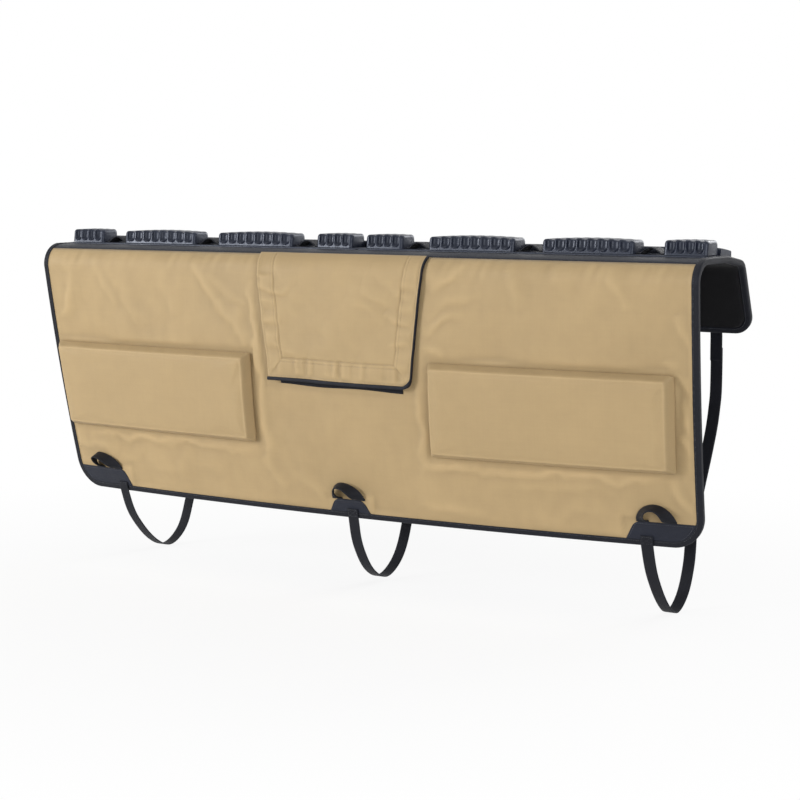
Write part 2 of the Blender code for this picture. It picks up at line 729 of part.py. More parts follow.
def main():
    clear_scene()
    build_panels()
    build_access_flap()
    build_raised_pad("left", -1)
    build_raised_pad("right", 1)
    build_patches()
    for side_name, x in LOOP_X.items():
        height = MIDDLE_PATCH_HEIGHT if side_name == "middle" else PATCH_HEIGHT
        build_pull_loop(side_name, x, FRONT_END + height + GAP)
    for side_name in STRAP_X:
        build_strap(side_name)
    build_row()


main()
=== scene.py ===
"""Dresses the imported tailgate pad: padded fabric, webbing, moulded blocks, floor, light and camera.

Metres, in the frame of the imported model. A place on the pad is (x, t, n): x across, t the arc
length along the inner skin from the seat's middle, negative down the front and positive down
the back, and n the height above that skin.
"""

import logging
import math
from collections.abc import Callable, Sequence
from dataclasses import dataclass, field
from enum import Enum
from functools import cached_property, partial

import bmesh
import bpy
import numpy as np
from mathutils import Matrix, Vector

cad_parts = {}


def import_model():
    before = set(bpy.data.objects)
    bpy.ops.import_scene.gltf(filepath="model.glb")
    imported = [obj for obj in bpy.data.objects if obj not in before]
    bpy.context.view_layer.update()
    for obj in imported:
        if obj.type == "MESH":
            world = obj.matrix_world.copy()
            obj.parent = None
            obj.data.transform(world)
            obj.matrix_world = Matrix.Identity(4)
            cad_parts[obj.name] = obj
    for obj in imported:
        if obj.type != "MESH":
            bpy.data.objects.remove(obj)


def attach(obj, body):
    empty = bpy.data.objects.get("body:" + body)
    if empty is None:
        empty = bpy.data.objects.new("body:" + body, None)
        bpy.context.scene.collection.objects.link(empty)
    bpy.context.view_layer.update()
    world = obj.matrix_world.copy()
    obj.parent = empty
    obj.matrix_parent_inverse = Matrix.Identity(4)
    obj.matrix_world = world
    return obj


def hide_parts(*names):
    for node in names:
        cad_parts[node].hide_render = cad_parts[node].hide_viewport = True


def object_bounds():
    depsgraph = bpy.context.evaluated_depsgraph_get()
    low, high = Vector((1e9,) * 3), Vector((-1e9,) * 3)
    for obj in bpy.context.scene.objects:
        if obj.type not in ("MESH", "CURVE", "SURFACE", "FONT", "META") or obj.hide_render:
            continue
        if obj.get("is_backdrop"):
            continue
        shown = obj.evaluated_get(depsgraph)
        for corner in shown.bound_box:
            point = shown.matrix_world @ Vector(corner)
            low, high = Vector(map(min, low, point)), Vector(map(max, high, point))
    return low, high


LOG = logging.getLogger("tailgate_pad")
PLACE = "pad_place"
PAINTED_SHADE = "pad_painted_shade"
GAP = 0.0003
Array = np.ndarray
Section = Sequence[tuple[float, float]]


# Shape of the pad


@dataclass(frozen=True)
class PadSkin:
    """The inner skin that every fabric layer follows, and the layers' heights above it."""

    width: float = 1.56
    corner: float = 0.060
    back_corner: float = 0.035
    seat: float = 0.084
    shoulder: float = 0.033
    lean: float = math.radians(-2)
    drop: float = 0.497
    bow: float = math.radians(15)
    sweep: float = 0.049
    sweep_level: float = 0.2
    taper: float = 0.027
    seam_turn: float = math.radians(36)
    ease: float = 0.060
    slope: float = math.radians(9)
    slope_run: float = 0.054
    back_shoulder: float = 0.012
    flare: float = math.radians(20)
    back_drop: float = 0.130
    lining: float = 0.002
    panel: float = 0.0095
    tape: float = 0.0012
    lip: float = 0.011
    opening_width: float = 0.270
    opening_height: float = 0.120
    opening_below_seam: float = 0.0808

    @cached_property
    def front_runs(self) -> tuple[tuple[float, float], ...]:
        """Length and turn of each run down the front."""
        turn = math.pi / 2 + self.lean
        return ((self.seat / 2, 0.0), (self.shoulder * turn, turn), (self.drop, self.bow))

    @cached_property
    def back_runs(self) -> tuple[tuple[float, float], ...]:
        """Length and turn of each run down the back."""
        fold = math.pi / 2 - self.slope - self.flare
        return (
            (self.seat / 2, 0.0),
            (self.ease * self.slope, self.slope),
            (self.slope_run, 0.0),
            (self.back_shoulder * fold, fold),
            (self.back_drop, 0.0),
        )

    @cached_property
    def front_end(self) -> float:
        """Arc length of the front's bottom edge."""
        return -sum(length for length, _ in self.front_runs)

    @cached_property
    def back_end(self) -> float:
        """Arc length of the back flap's lower edge."""
        return sum(length for length, _ in self.back_runs)

    @cached_property
    def seam(self) -> float:
        """Arc length of the seam between the sand coloured front and the dark top."""
        return -(self.seat / 2 + self.shoulder * self.seam_turn)

    @cached_property
    def fold(self) -> float:
        """Arc length at which the back flap begins."""
        return self.back_end - self.back_drop

    @property
    def panel_low(self) -> float:
        """Height of the padded panels' underside."""
        return self.lining + GAP

    @property
    def laminate(self) -> float:
        """Height of the padded panels' face."""
        return self.panel_low + self.panel

    @property
    def on_panel(self) -> float:
        """Height at which a piece lies on the panels."""
        return self.laminate + GAP

    def runs_at(self, t: float) -> tuple[float, float, float]:
        """Depth, height and downward heading of the skin at t.

        Args:
            t: Arc length from the seat's middle.

        Returns:
            Depth away from the middle, height, and heading in radians.
        """
        depth, height, heading = 0.0, 0.0, 0.0
        left = abs(t)
        for length, turn in self.front_runs if t < 0 else self.back_runs:
            step = min(left, length)
            part = turn * step / length
            if part:
                radius = length / turn
                depth += radius * (math.sin(heading + part) - math.sin(heading))
                height -= radius * (math.cos(heading) - math.cos(heading + part))
            else:
                depth += step * math.cos(heading)
                height -= step * math.sin(heading)
            heading += part
            left -= step
        return depth + left * math.cos(heading), height - left * math.sin(heading), heading

    @cached_property
    def table(self) -> Array:
        """Rows of arc length, depth, height and heading, half a millimetre apart."""
        reach = np.arange(self.front_end - 0.08, self.back_end + 0.08, 0.0005)
        return np.array([(t, *self.runs_at(t)) for t in reach]).T

    def place(self, x: Array | float, t: Array | float, n: Array | float) -> Array:
        """Points at (x, t, n).

        Args:
            x: Places across the pad.
            t: Arc lengths.
            n: Heights above the inner skin.

        Returns:
            Array of points whose last axis is X, Y, Z.
        """
        x, t, n = np.broadcast_arrays(*(np.asarray(value, float) for value in (x, t, n)))
        reach, depths, heights, headings = self.table
        depth = np.interp(t, reach, depths)
        height = np.interp(t, reach, heights)
        heading = np.interp(t, reach, headings)
        side = np.where(t < 0, -1.0, 1.0)
        start = self.front_runs[0][0] + self.front_runs[1][0]
        down = np.maximum(0.0, (-t - start) / self.drop)
        bowed = (x * 2 / self.width) ** 2 - self.sweep_level
        y = side * (depth + n * np.sin(heading)) + self.sweep * bowed * down * (2 - down)
        return np.stack([x * (1 - self.taper * down), y, height + n * np.cos(heading)], axis=-1)

    def point(self, x: float, t: float, n: float) -> Vector:
        """One point at (x, t, n)."""
        return Vector(self.place(x, t, n).tolist())

    def directions(self, x: float, t: float) -> tuple[Vector, Vector, Vector]:
        """Unit directions at a place on the pad.

        Args:
            x: Place across the pad.
            t: Arc length.

        Returns:
            The directions across, along t and away from the pad.
        """
        step = 0.001
        across = (self.point(x + step, t, 0) - self.point(x - step, t, 0)).normalized()
        along = (self.point(x, t + step, 0) - self.point(x, t - step, 0)).normalized()
        return across, along, across.cross(along).normalized()

    def outs(self, spots: Sequence[tuple[float, float]]) -> list[Vector]:
        """Directions away from the pad at places (x, t)."""
        return [self.directions(x, t)[2] for x, t in spots]

    def half_width(self, t: Array | float, inset: float = 0.0) -> Array:
        """Half the pad's width at t, rounded at the corners.

        Args:
            t: Arc lengths.
            inset: How far the outline is drawn in.

        Returns:
            Array shaped as t.
        """
        t = np.asarray(t, float)
        half = np.full(t.shape, self.width / 2 - inset)
        for depth, radius in ((t - self.front_end, self.corner), (self.back_end - t, self.back_corner)):
            reach = radius - inset
            into = np.clip(reach - (depth - inset), 0.0, reach)
            half = half - (reach - np.sqrt(reach * reach - into * into))
        return half

    def from_edge(self, x: Array, t: Array) -> Array:
        """Distance inwards from the pad's nearest edge."""
        ends = np.minimum(t - self.front_end, self.back_end - t)
        return np.minimum(self.half_width(t) - np.abs(x), ends)

    @property
    def opening(self) -> tuple[float, float]:
        """Lowest and highest arc length of the opening behind the flap."""
        top = self.seam - self.opening_below_seam
        return top - self.opening_height, top

    def opened_grid(self, rows: Array, pitch: float, inset: float = 0.0) -> tuple[Array, Array, Array]:
        """Places of a layer with the opening cut out of it.

        Args:
            rows: Its arc lengths, two of them the opening's.
            pitch: Distance between places across, about.
            inset: How far its outline is drawn in.

        Returns:
            x and t as rows and columns, and which cells stay.
        """
        half, reach = self.opening_width / 2, self.width / 2 - inset
        shares = stops((-reach, -half, half, reach), pitch) / reach
        t = np.repeat(rows[:, None], len(shares), 1)
        x = shares[None, :] * self.half_width(t, inset)
        middle = (t[1:, 1:] + t[:-1, 1:]) / 2
        across = (x[1:, 1:] + x[:-1, :-1]) / 2
        low, top = self.opening
        return x, t, ~((np.abs(across) < half) & (middle > low) & (middle < top))

    def outline(self, pitch: float) -> Array:
        """The pad's outline, with the pad on its left.

        Args:
            pitch: Distance between points, about.

        Returns:
            Rows of (x, t).
        """
        lines = []
        bends = []
        front, back = self.corner, self.back_corner
        for side, end, radius in ((1, -1, front), (1, 1, back), (-1, 1, back), (-1, -1, front)):
            t = self.front_end + radius if end < 0 else self.back_end - radius
            bends.append((np.array([side * (self.width / 2 - radius), t]), radius, 90.0 * (len(bends) - 1)))
        for before, (middle, radius, start) in zip((bends[-1], *bends), bends):
            tail = before[0] + before[1] * heading(before[2] + 90)
            head = middle + radius * heading(start)
            count = max(1, round(math.dist(tail, head) / pitch))
            lines += [tail + (head - tail) * k / count for k in range(count)]
            count = max(6, round(radius * math.pi / 2 / pitch))
            lines += [middle + radius * heading(start + 90 * k / count) for k in range(count)]
        return np.array(lines)


# Numbers that vary over a surface


def noise(x: Array, t: Array, scale: float, seed: int) -> Array:
    """Smooth random field between -1 and 1.

    Args:
        x: Places across.
        t: Places along.
        scale: Distance over which the field changes.
        seed: Picks the field.

    Returns:
        Array shaped as x.
    """
    table = np.random.default_rng(seed).random((97, 97)) * 2 - 1
    u, v = x / scale + 41.3, t / scale + 37.9
    i, j = np.floor(u).astype(int), np.floor(v).astype(int)
    fu, fv = u - i, v - j
    fu, fv = fu * fu * (3 - 2 * fu), fv * fv * (3 - 2 * fv)
    low = table[i % 97, j % 97] * (1 - fu) + table[(i + 1) % 97, j % 97] * fu
    high = table[i % 97, (j + 1) % 97] * (1 - fu) + table[(i + 1) % 97, (j + 1) % 97] * fu
    return low * (1 - fv) + high * fv


def ramp(value: Array, start: float, end: float) -> Array:
    """Rises smoothly from 0 at start to 1 at end."""
    share = np.clip((value - start) / (end - start), 0.0, 1.0)
    return share * share * (3 - 2 * share)


def ridge(value: Array, middle: Array | float, breadth: float) -> Array:
    """1 at the middle, and falls softly to 0 on both sides of it."""
    return np.exp(-(((value - middle) / breadth) ** 2))


def quarter(count: int) -> Array:
    """Shares of a corner's depth at even angles, from 0 to 1."""
    return 1 - np.cos(np.linspace(0, math.pi / 2, count))


def heading(angle: float) -> Array:
    """Unit direction at an angle in degrees."""
    return np.array([math.cos(math.radians(angle)), math.sin(math.radians(angle))])


def outward(line: Array, closed: bool) -> Array:
    """Directions out of the pad along a line that keeps the pad on its left.

    Args:
        line: Rows of (x, t).
        closed: Whether its last point joins its first.

    Returns:
        Rows of unit directions in x and t.
    """
    if closed:
        run = np.roll(line, -1, 0) - np.roll(line, 1, 0)
    else:
        run = np.vstack([line[1:], line[-1:]]) - np.vstack([line[:1], line[:-1]])
    run /= np.linalg.norm(run, axis=1)[:, None]
    return np.stack([run[:, 1], -run[:, 0]], 1)


def run_lengths(line: Array) -> Array:
    """Distance of each point along a line from its first."""
    return np.concatenate([[0.0], np.cumsum(np.linalg.norm(np.diff(line, axis=0), axis=1))])


def outside(x: Array, t: Array, box: tuple[float, float, float, float], slack: float) -> Array:
    """0 in a box of x and t and its rim, rising to 1 a slack away.

    Args:
        x: Places across.
        t: Places along.
        box: Lowest x, highest x, lowest t, highest t.
        slack: Distance over which the value rises.

    Returns:
        Array between 0 and 1.
    """
    low_x, high_x, low_t, high_t = box
    dx = np.maximum(np.maximum(low_x - x, x - high_x), 0.0)
    dt = np.maximum(np.maximum(low_t - t, t - high_t), 0.0)
    return ramp(np.hypot(dx, dt), 0.002, slack)


@dataclass(frozen=True)
class Crease:
    """A fold in fabric between two places on the pad."""

    x0: float
    t0: float
    x1: float
    t1: float
    breadth: float
    height: float

    def lift(self, x: Array, t: Array) -> Array:
        """Height that the fold adds, steeper on one side than on the other.

        Args:
            x: Places across.
            t: Places along.

        Returns:
            Array shaped as x.
        """
        dx, dt = self.x1 - self.x0, self.t1 - self.t0
        length = math.hypot(dx, dt)
        along = ((x - self.x0) * dx + (t - self.t0) * dt) / length**2
        apart = ((x - self.x0) * -dt + (t - self.t0) * dx) / length
        fade = np.clip(along * (1 - along) * 4, 0.0, 1.0) ** 0.8
        spread = self.breadth * np.where(apart > 0, 1.95, 1.05)
        return self.height * 0.84 * fade * ridge(apart, 0.0, spread)


def creases_of(*rows: tuple[float, ...]) -> tuple[Crease, ...]:
    """Folds from rows of both ends' x and t, breadth and height, all in millimetres."""
    return tuple(Crease(*(number / 1000 for number in row)) for row in rows)


def creased(creases: Sequence[Crease], x: Array, t: Array, sway: float) -> Array:
    """Height of several folds together, each bent a little out of its straight line.

    Args:
        creases: The folds.
        x: Places across.
        t: Places along.
        sway: How far the folds wander.

    Returns:
        Array shaped as x.
    """
    bent = [
        value + noise(x, t, 0.045, seed) * sway + noise(x, t, 0.016, seed + 1) * sway * 0.25
        for value, seed in ((x, 14), (t, 16))
    ]
    return sum(crease.lift(*bent) for crease in creases)


# Meshes


def add_object(name: str, points: Array, faces: list[list[int]], places: Array | None = None) -> bpy.types.Object:
    """Makes a smooth mesh object.

    Args:
        name: Name of the piece.
        points: Rows of X, Y, Z.
        faces: Corner numbers of each face.
        places: Rows that the materials read as the place on the cloth.

    Returns:
        The new object, linked to the scene.
    """
    mesh = bpy.data.meshes.new(name)
    mesh.from_pydata(points.tolist(), [], faces)
    mesh.validate()
    mesh.shade_smooth()
    piece = bpy.data.objects.new(name, mesh)
    if places is not None:
        store(piece, PLACE, places)
    bpy.context.scene.collection.objects.link(piece)
    return piece


def store(piece: bpy.types.Object, name: str, values: Array) -> None:
    """Keeps numbers or vectors of each point on a mesh, for the materials.

    Args:
        piece: The object.
        name: Name of the attribute.
        values: One number or one vector for each point.
    """
    kind, key = ("FLOAT", "value") if values.ndim == 1 else ("FLOAT_VECTOR", "vector")
    made = piece.data.attributes.new(name, kind, "POINT")
    made.data.foreach_set(key, np.ascontiguousarray(values, np.float32).ravel())


def relief(heights: Array, passes: int, scale: float) -> Array:
    """How far a grid of heights stands over or under its surroundings.

    Args:
        heights: Rows and columns of heights.
        passes: How often the surroundings are averaged.
        scale: Height that counts as a full ridge.

    Returns:
        Array shaped as heights.
    """
    calm = heights
    for _ in range(passes):
        wide = np.pad(calm, 1, mode="edge")
        crossed = wide[:-2, 1:-1] + wide[2:, 1:-1] + wide[1:-1, :-2] + wide[1:-1, 2:]
        calm = (crossed + wide[1:-1, 1:-1]) / 5
    return (heights - calm) / scale


def stops(marks: Sequence[float], pitch: float) -> Array:
    """Rising numbers through all the marks.

    Args:
        marks: Numbers that are kept.
        pitch: Distance between the numbers, about.

    Returns:
        One row of numbers.
    """
    lines = [np.array([marks[0]])]
    for low, high in zip(marks, marks[1:]):
        count = max(1, round((high - low) / pitch))
        lines.append(np.linspace(low, high, count + 1)[1:])
    return np.concatenate(lines)


def turned_edge(wrap: float, low: float, high: float, radius: float, step: int) -> list[tuple[float, float]]:
    """The outer turn of a folded tape, from its face round to its underside.

    Args:
        wrap: How far the tape stands outside what it covers.
        low: Underside of what it covers.
        high: Face of what it covers.
        radius: Radius of the turn.
        step: Degrees between its points.

    Returns:
        Pairs of a distance outwards and a height.
    """
    turns = [(angle, high + wrap - radius) for angle in range(0, 91, step)]
    turns += [(angle, low - wrap + radius) for angle in range(90, 181, step)]
    return [
        (wrap - radius + radius * math.sin(math.radians(angle)), level + radius * math.cos(math.radians(angle)))
        for angle, level in turns
    ]


def closed_sheet(
    name: str,
    skin: PadSkin,
    x: Array,
    t: Array,
    low: Array | float,
    high: Array | float,
    keep: Array | None = None,
    fold: Array | None = None,
) -> bpy.types.Object:
    """Closed layer of fabric over the pad.

    Args:
        name: Name of the piece.
        skin: The pad's skin.
        x: Places across, as rows and columns.
        t: Arc lengths, as rows and columns.
        low: Height of the underside.
        high: Height of the face.
        keep: Which cells are there, where some are cut out.
        fold: Painted shading for the material: lighter on the face's ridges, darker in its hollows and where shade
            falls.

    Returns:
        The new object.
    """
    rows, columns = x.shape
    count = rows * columns
    cells = np.ones((rows - 1, columns - 1), bool) if keep is None else keep
    levels = [np.broadcast_to(np.asarray(level, float), x.shape) for level in (low, high)]
    points = np.concatenate([skin.place(x, t, level).reshape(-1, 3) for level in levels])
    places = np.concatenate([np.stack([x, t, level], -1).reshape(-1, 3) for level in levels])
    index = np.arange(count).reshape(rows, columns)
    a, b, c, d = index[:-1, :-1], index[:-1, 1:], index[1:, 1:], index[1:, :-1]
    faces = [np.stack([a[cells], d[cells], c[cells], b[cells]], 1)]
    faces.append(np.stack([a[cells], b[cells], c[cells], d[cells]], 1) + count)
    around = np.pad(cells, 1)
    for start, end, beside in (
        (a, b, around[:-2, 1:-1]),
        (b, c, around[1:-1, 2:]),
        (c, d, around[2:, 1:-1]),
        (d, a, around[1:-1, :-2]),
    ):
        rim = cells & ~beside
        faces.append(np.stack([end[rim] + count, start[rim] + count, start[rim], end[rim]], 1))
    loops = np.concatenate(faces)
    used, numbers = np.unique(loops, return_inverse=True)
    piece = add_object(name, points[used], numbers.reshape(-1, 4).tolist(), places[used])
    # Painted shade and highlight go on the face; the underside gets none.
    if fold is not None:
        face = np.clip(fold.ravel(), -1.0, 1.0)
        store(piece, PAINTED_SHADE, np.concatenate([face * 0, face])[used])
    return piece


def swept(
    name: str, rings: Array, closed: bool, places: Array | None = None, capped: bool = True
) -> bpy.types.Object:
    """Solid through rings of points.

    Args:
        name: Name of the piece.
        rings: Points as rings, corners and X, Y, Z.
        closed: Whether the last ring joins the first.
        places: The cloth places of the same points.
        capped: Whether open ends are closed by faces.

    Returns:
        The new object.
    """
    count, corners = rings.shape[:2]
    index = np.arange(count * corners).reshape(count, corners)
    first = index if closed else index[:-1]
    second = np.roll(index, -1, 0) if closed else index[1:]
    after_first, after_second = np.roll(first, -1, 1), np.roll(second, -1, 1)
    quads = np.stack([first, after_first, after_second, second], -1).reshape(-1, 4).tolist()
    if not closed and capped:
        quads.append(index[0][::-1].tolist())
        quads.append(index[-1].tolist())
    piece = add_object(name, rings.reshape(-1, 3), quads, None if places is None else places.reshape(-1, 3))
    shape = bmesh.new()
    shape.from_mesh(piece.data)
    bmesh.ops.recalc_face_normals(shape, faces=shape.faces)
    shape.to_mesh(piece.data)
    shape.free()
    piece.data.shade_smooth()
    return piece


def smooth_path(points: Sequence[Vector], steps: int) -> list[Vector]:
    """A smooth curve through points.

    Args:
        points: Points that the curve keeps.
        steps: Number of steps between two of them.

    Returns:
        Points along the curve.
    """
    ends = [points[0] * 2 - points[1], *points, points[-1] * 2 - points[-2]]
    path = []
    for k in range(1, len(ends) - 2):
        a, b, c, d = ends[k - 1 : k + 3]
        for step in range(steps):
            u = step / steps
            square = (a * 2 - b * 5 + c * 4 - d) * u * u / 2
            cube = (b * 3 - a - c * 3 + d) * u**3 / 2
            path.append(b + (c - a) * u / 2 + square + cube)
    return [*path, points[-1]]


def ribbon(
    name: str, path: Sequence[Vector], sides: Sequence[Vector], width: float, thickness: float
) -> bpy.types.Object:
    """Flat webbing with rounded edges along a path.

    Args:
        name: Name of the piece.
        path: Middle line.
        sides: Direction of the webbing's width at each point.
        width: Width of the webbing.
        thickness: Thickness of the webbing.

    Returns:
        The new object.
    """
    half, thin = width / 2, thickness / 2
    inner = [(half - width * k / 8, thin) for k in range(1, 8)]
    upper = [(half - thin * 0.5, thin * 0.9), *inner, (-half + thin * 0.5, thin * 0.9)]
    section = [(half, 0.0), *upper, (-half, 0.0), *[(x, -z) for x, z in reversed(upper)]]
    rings, places = [], []
    reach = run_lengths(np.array(path))
    for k, point in enumerate(path):
        ahead, behind = path[min(k + 1, len(path) - 1)], path[max(k - 1, 0)]
        across = sides[k].normalized()
        through = (ahead - behind).cross(across).normalized()
        rings.append([point + across * a + through * b for a, b in section])
        places.append([(a, reach[k], b) for a, b in section])
    return swept(name, np.array(rings), False, np.array(places))


@dataclass
class StitchRun:
    """Rows of sewing thread, each stitch a small bowed strand."""

    length: float = 0.0034
    pitch: float = 0.0046
    breadth: float = 0.0008
    rise: float = 0.0005
    sunk: float = 0.0002
    points: list[Array] = field(default_factory=list)
    faces: list[list[int]] = field(default_factory=list)

    def sew(self, path: Sequence[Vector] | Array, outs: Sequence[Vector]) -> None:
        """Adds a row of stitches along a path.

        Args:
            path: Middle line of the row, on the cloth.
            outs: Direction away from the cloth at each point.
        """
        line, away = np.array(path), np.array(outs)
        reach = run_lengths(line)
        count = int(reach[-1] / self.pitch)
        for k in range(count):
            self.strand(reach, line, away, (k + 0.5) * reach[-1] / count - self.length / 2)

    def sew_flat(self, skin: PadSkin, spots: Sequence[tuple[float, float]], level: float) -> None:
        """Adds a row of stitches through places (x, t) at one height over the skin."""
        self.sew(skin.place(*np.array(spots).T, level), skin.outs(spots))

    def strand(self, reach: Array, line: Array, away: Array, start: float) -> None:
        """Adds one stitch.

        Args:
            reach: Distance of each point along the row.
            line: The row's points.
            away: Direction away from the cloth at each point.
            start: Distance along the row at which the stitch begins.
        """
        base = sum(len(part) for part in self.points)
        rings = []
        for share, full, bow in ((0.0, 0.45, 0.1), (0.25, 1.0, 1.0), (0.75, 1.0, 1.0), (1.0, 0.45, 0.1)):
            at = start + self.length * share
            spot, out, later = (
                np.array([np.interp(where, reach, values[:, axis]) for axis in range(3)])
                for where, values in ((at, line), (at, away), (at + 0.0005, line))
            )
            side = np.cross(later - spot, out)
            side *= self.breadth / 2 * full / max(np.linalg.norm(side), 1e-9)
            rings.append([spot + side, spot + out * self.rise * bow, spot - side, spot - out * self.sunk])
        self.points.append(np.array(rings).reshape(-1, 3))
        last = base + 4 * (len(rings) - 1)
        for start_of_ring in range(base, last, 4):
            for k in range(4):
                a, b = start_of_ring + k, start_of_ring + (k + 1) % 4
                self.faces.append([a, b, b + 4, a + 4])
        self.faces += [[base + 3, base + 2, base + 1, base], [last, last + 1, last + 2, last + 3]]

    def build(self, name: str) -> bpy.types.Object:
        """One object with every stitch sewn so far."""
        return add_object(name, np.concatenate(self.points), self.faces)


# Materials


class Graph:
    """Adds and links the nodes of one tree."""

    def __init__(self, tree: bpy.types.NodeTree) -> None:
        """Keeps the tree.

        Args:
            tree: Tree that receives the nodes.
        """
        self.tree = tree

    def feed(self, socket: bpy.types.NodeSocket, value: object) -> None:
        """Links a socket, or writes a plain value to it.

        Args:
            socket: The socket that receives it.
            value: Another socket, or a number, vector or colour.
        """
        if isinstance(value, bpy.types.NodeSocket):
            self.tree.links.new(value, socket)
        else:
            socket.default_value = value

    def add(self, kind: str, options: dict[str, object] | None = None, **inputs: object) -> bpy.types.Node:
        """Adds a node.

        Args:
            kind: The node's type.
            options: Its own settings.
            inputs: Values or sockets by input name, with _ for a space.

        Returns:
            The node.
        """
        node = self.tree.nodes.new(kind)
        for name, value in (options or {}).items():
            setattr(node, name, value)
        for name, value in inputs.items():
            self.feed(node.inputs[name.replace("_", " ")], value)
        return node

    def math(self, operation: str, a: object, b: object = 0.0, clamp: bool = False) -> bpy.types.NodeSocket:
        """Adds a Math node.

        Args:
            operation: What it does.
            a: First number or socket.
            b: Second number or socket.
            clamp: Whether the result is held between 0 and 1.

        Returns:
            The result's socket.
        """
        node = self.tree.nodes.new("ShaderNodeMath")
        node.operation = operation
        node.use_clamp = clamp
        self.feed(node.inputs[0], a)
        self.feed(node.inputs[1], b)
        return node.outputs[0]

    def times(self, a: object, b: object) -> bpy.types.NodeSocket:
        """Two numbers multiplied."""
        return self.math("MULTIPLY", a, b)

    def blend(self, a: object, share: float, b: object) -> bpy.types.NodeSocket:
        """A share of one number and the rest of another, added."""
        return self.math("ADD", self.times(a, share), self.times(b, 1 - share))

    def noise(self, place: object, scale: object, detail: float) -> bpy.types.NodeSocket:
        """Noise between 0 and 1 at a place."""
        return self.add("ShaderNodeTexNoise", Vector=place, Scale=scale, Detail=detail).outputs["Fac"]

    def mix(self, share: object, a: object, b: object, blend: str = "MIX") -> bpy.types.NodeSocket:
        """Adds a colour mix.

        Args:
            share: Share of the second colour.
            a: First colour or socket.
            b: Second colour or socket.
            blend: How they are mixed.

        Returns:
            The result's socket.
        """
        node = self.tree.nodes.new("ShaderNodeMix")
        node.data_type = "RGBA"
        node.blend_type = blend
        for number, value in ((0, share), (6, a), (7, b)):
            self.feed(node.inputs[number], value)
        return node.outputs[2]

    def span(self, value: object, low: float, high: float, to_low: float, to_high: float) -> bpy.types.NodeSocket:
        """Moves a value from one range to another, and holds it inside.

        Args:
            value: Number or socket.
            low: Where the first range begins.
            high: Where it ends.
            to_low: Where the second range begins.
            to_high: Where it ends.

        Returns:
            The result's socket.
        """
        given = {"From_Min": low, "From_Max": high, "To_Min": to_low, "To_Max": to_high}
        return self.add("ShaderNodeMapRange", Value=value, **given).outputs[0]

    def seen(self) -> bpy.types.NodeSocket:
        """1 for rays that show the surroundings: the camera's, mirrored ones and those through glass."""
        rays = self.add("ShaderNodeLightPath").outputs
        shown = self.math("MAXIMUM", rays["Is Camera Ray"], rays["Is Glossy Ray"])
        return self.math("MAXIMUM", shown, rays["Is Transmission Ray"])


class Effect(Enum):
    """The surface effects that several materials share."""

    WEAVE = "thread_weave"
    MOTTLE = "tone_mottle"
    # Rubbed edges as wear, and painted shade in concave hollows.
    WEAR = "edge_wear_and_hollow_shade"
    DUST = "settled_dust"
    RIBS = "webbing_ribs"
    GRAIN = "moulded_grain"


Sockets = tuple[bpy.types.NodeSocket, ...]
EFFECT_SOCKETS = {
    Effect.WEAVE: ("Pitch", 0.001, ("Height", "Fleck")),
    Effect.MOTTLE: ("Scale", 6.0, ("Tone",)),
    Effect.WEAR: ("Amount", 1.0, ("Rubbed", "Hollow_Shade")),
    Effect.DUST: ("Amount", 0.5, ("Dust",)),
    Effect.RIBS: ("Rib", 0.0021, ("Height", "Pick")),
    Effect.GRAIN: ("Scale", 900.0, ("Height", "Pits")),
}


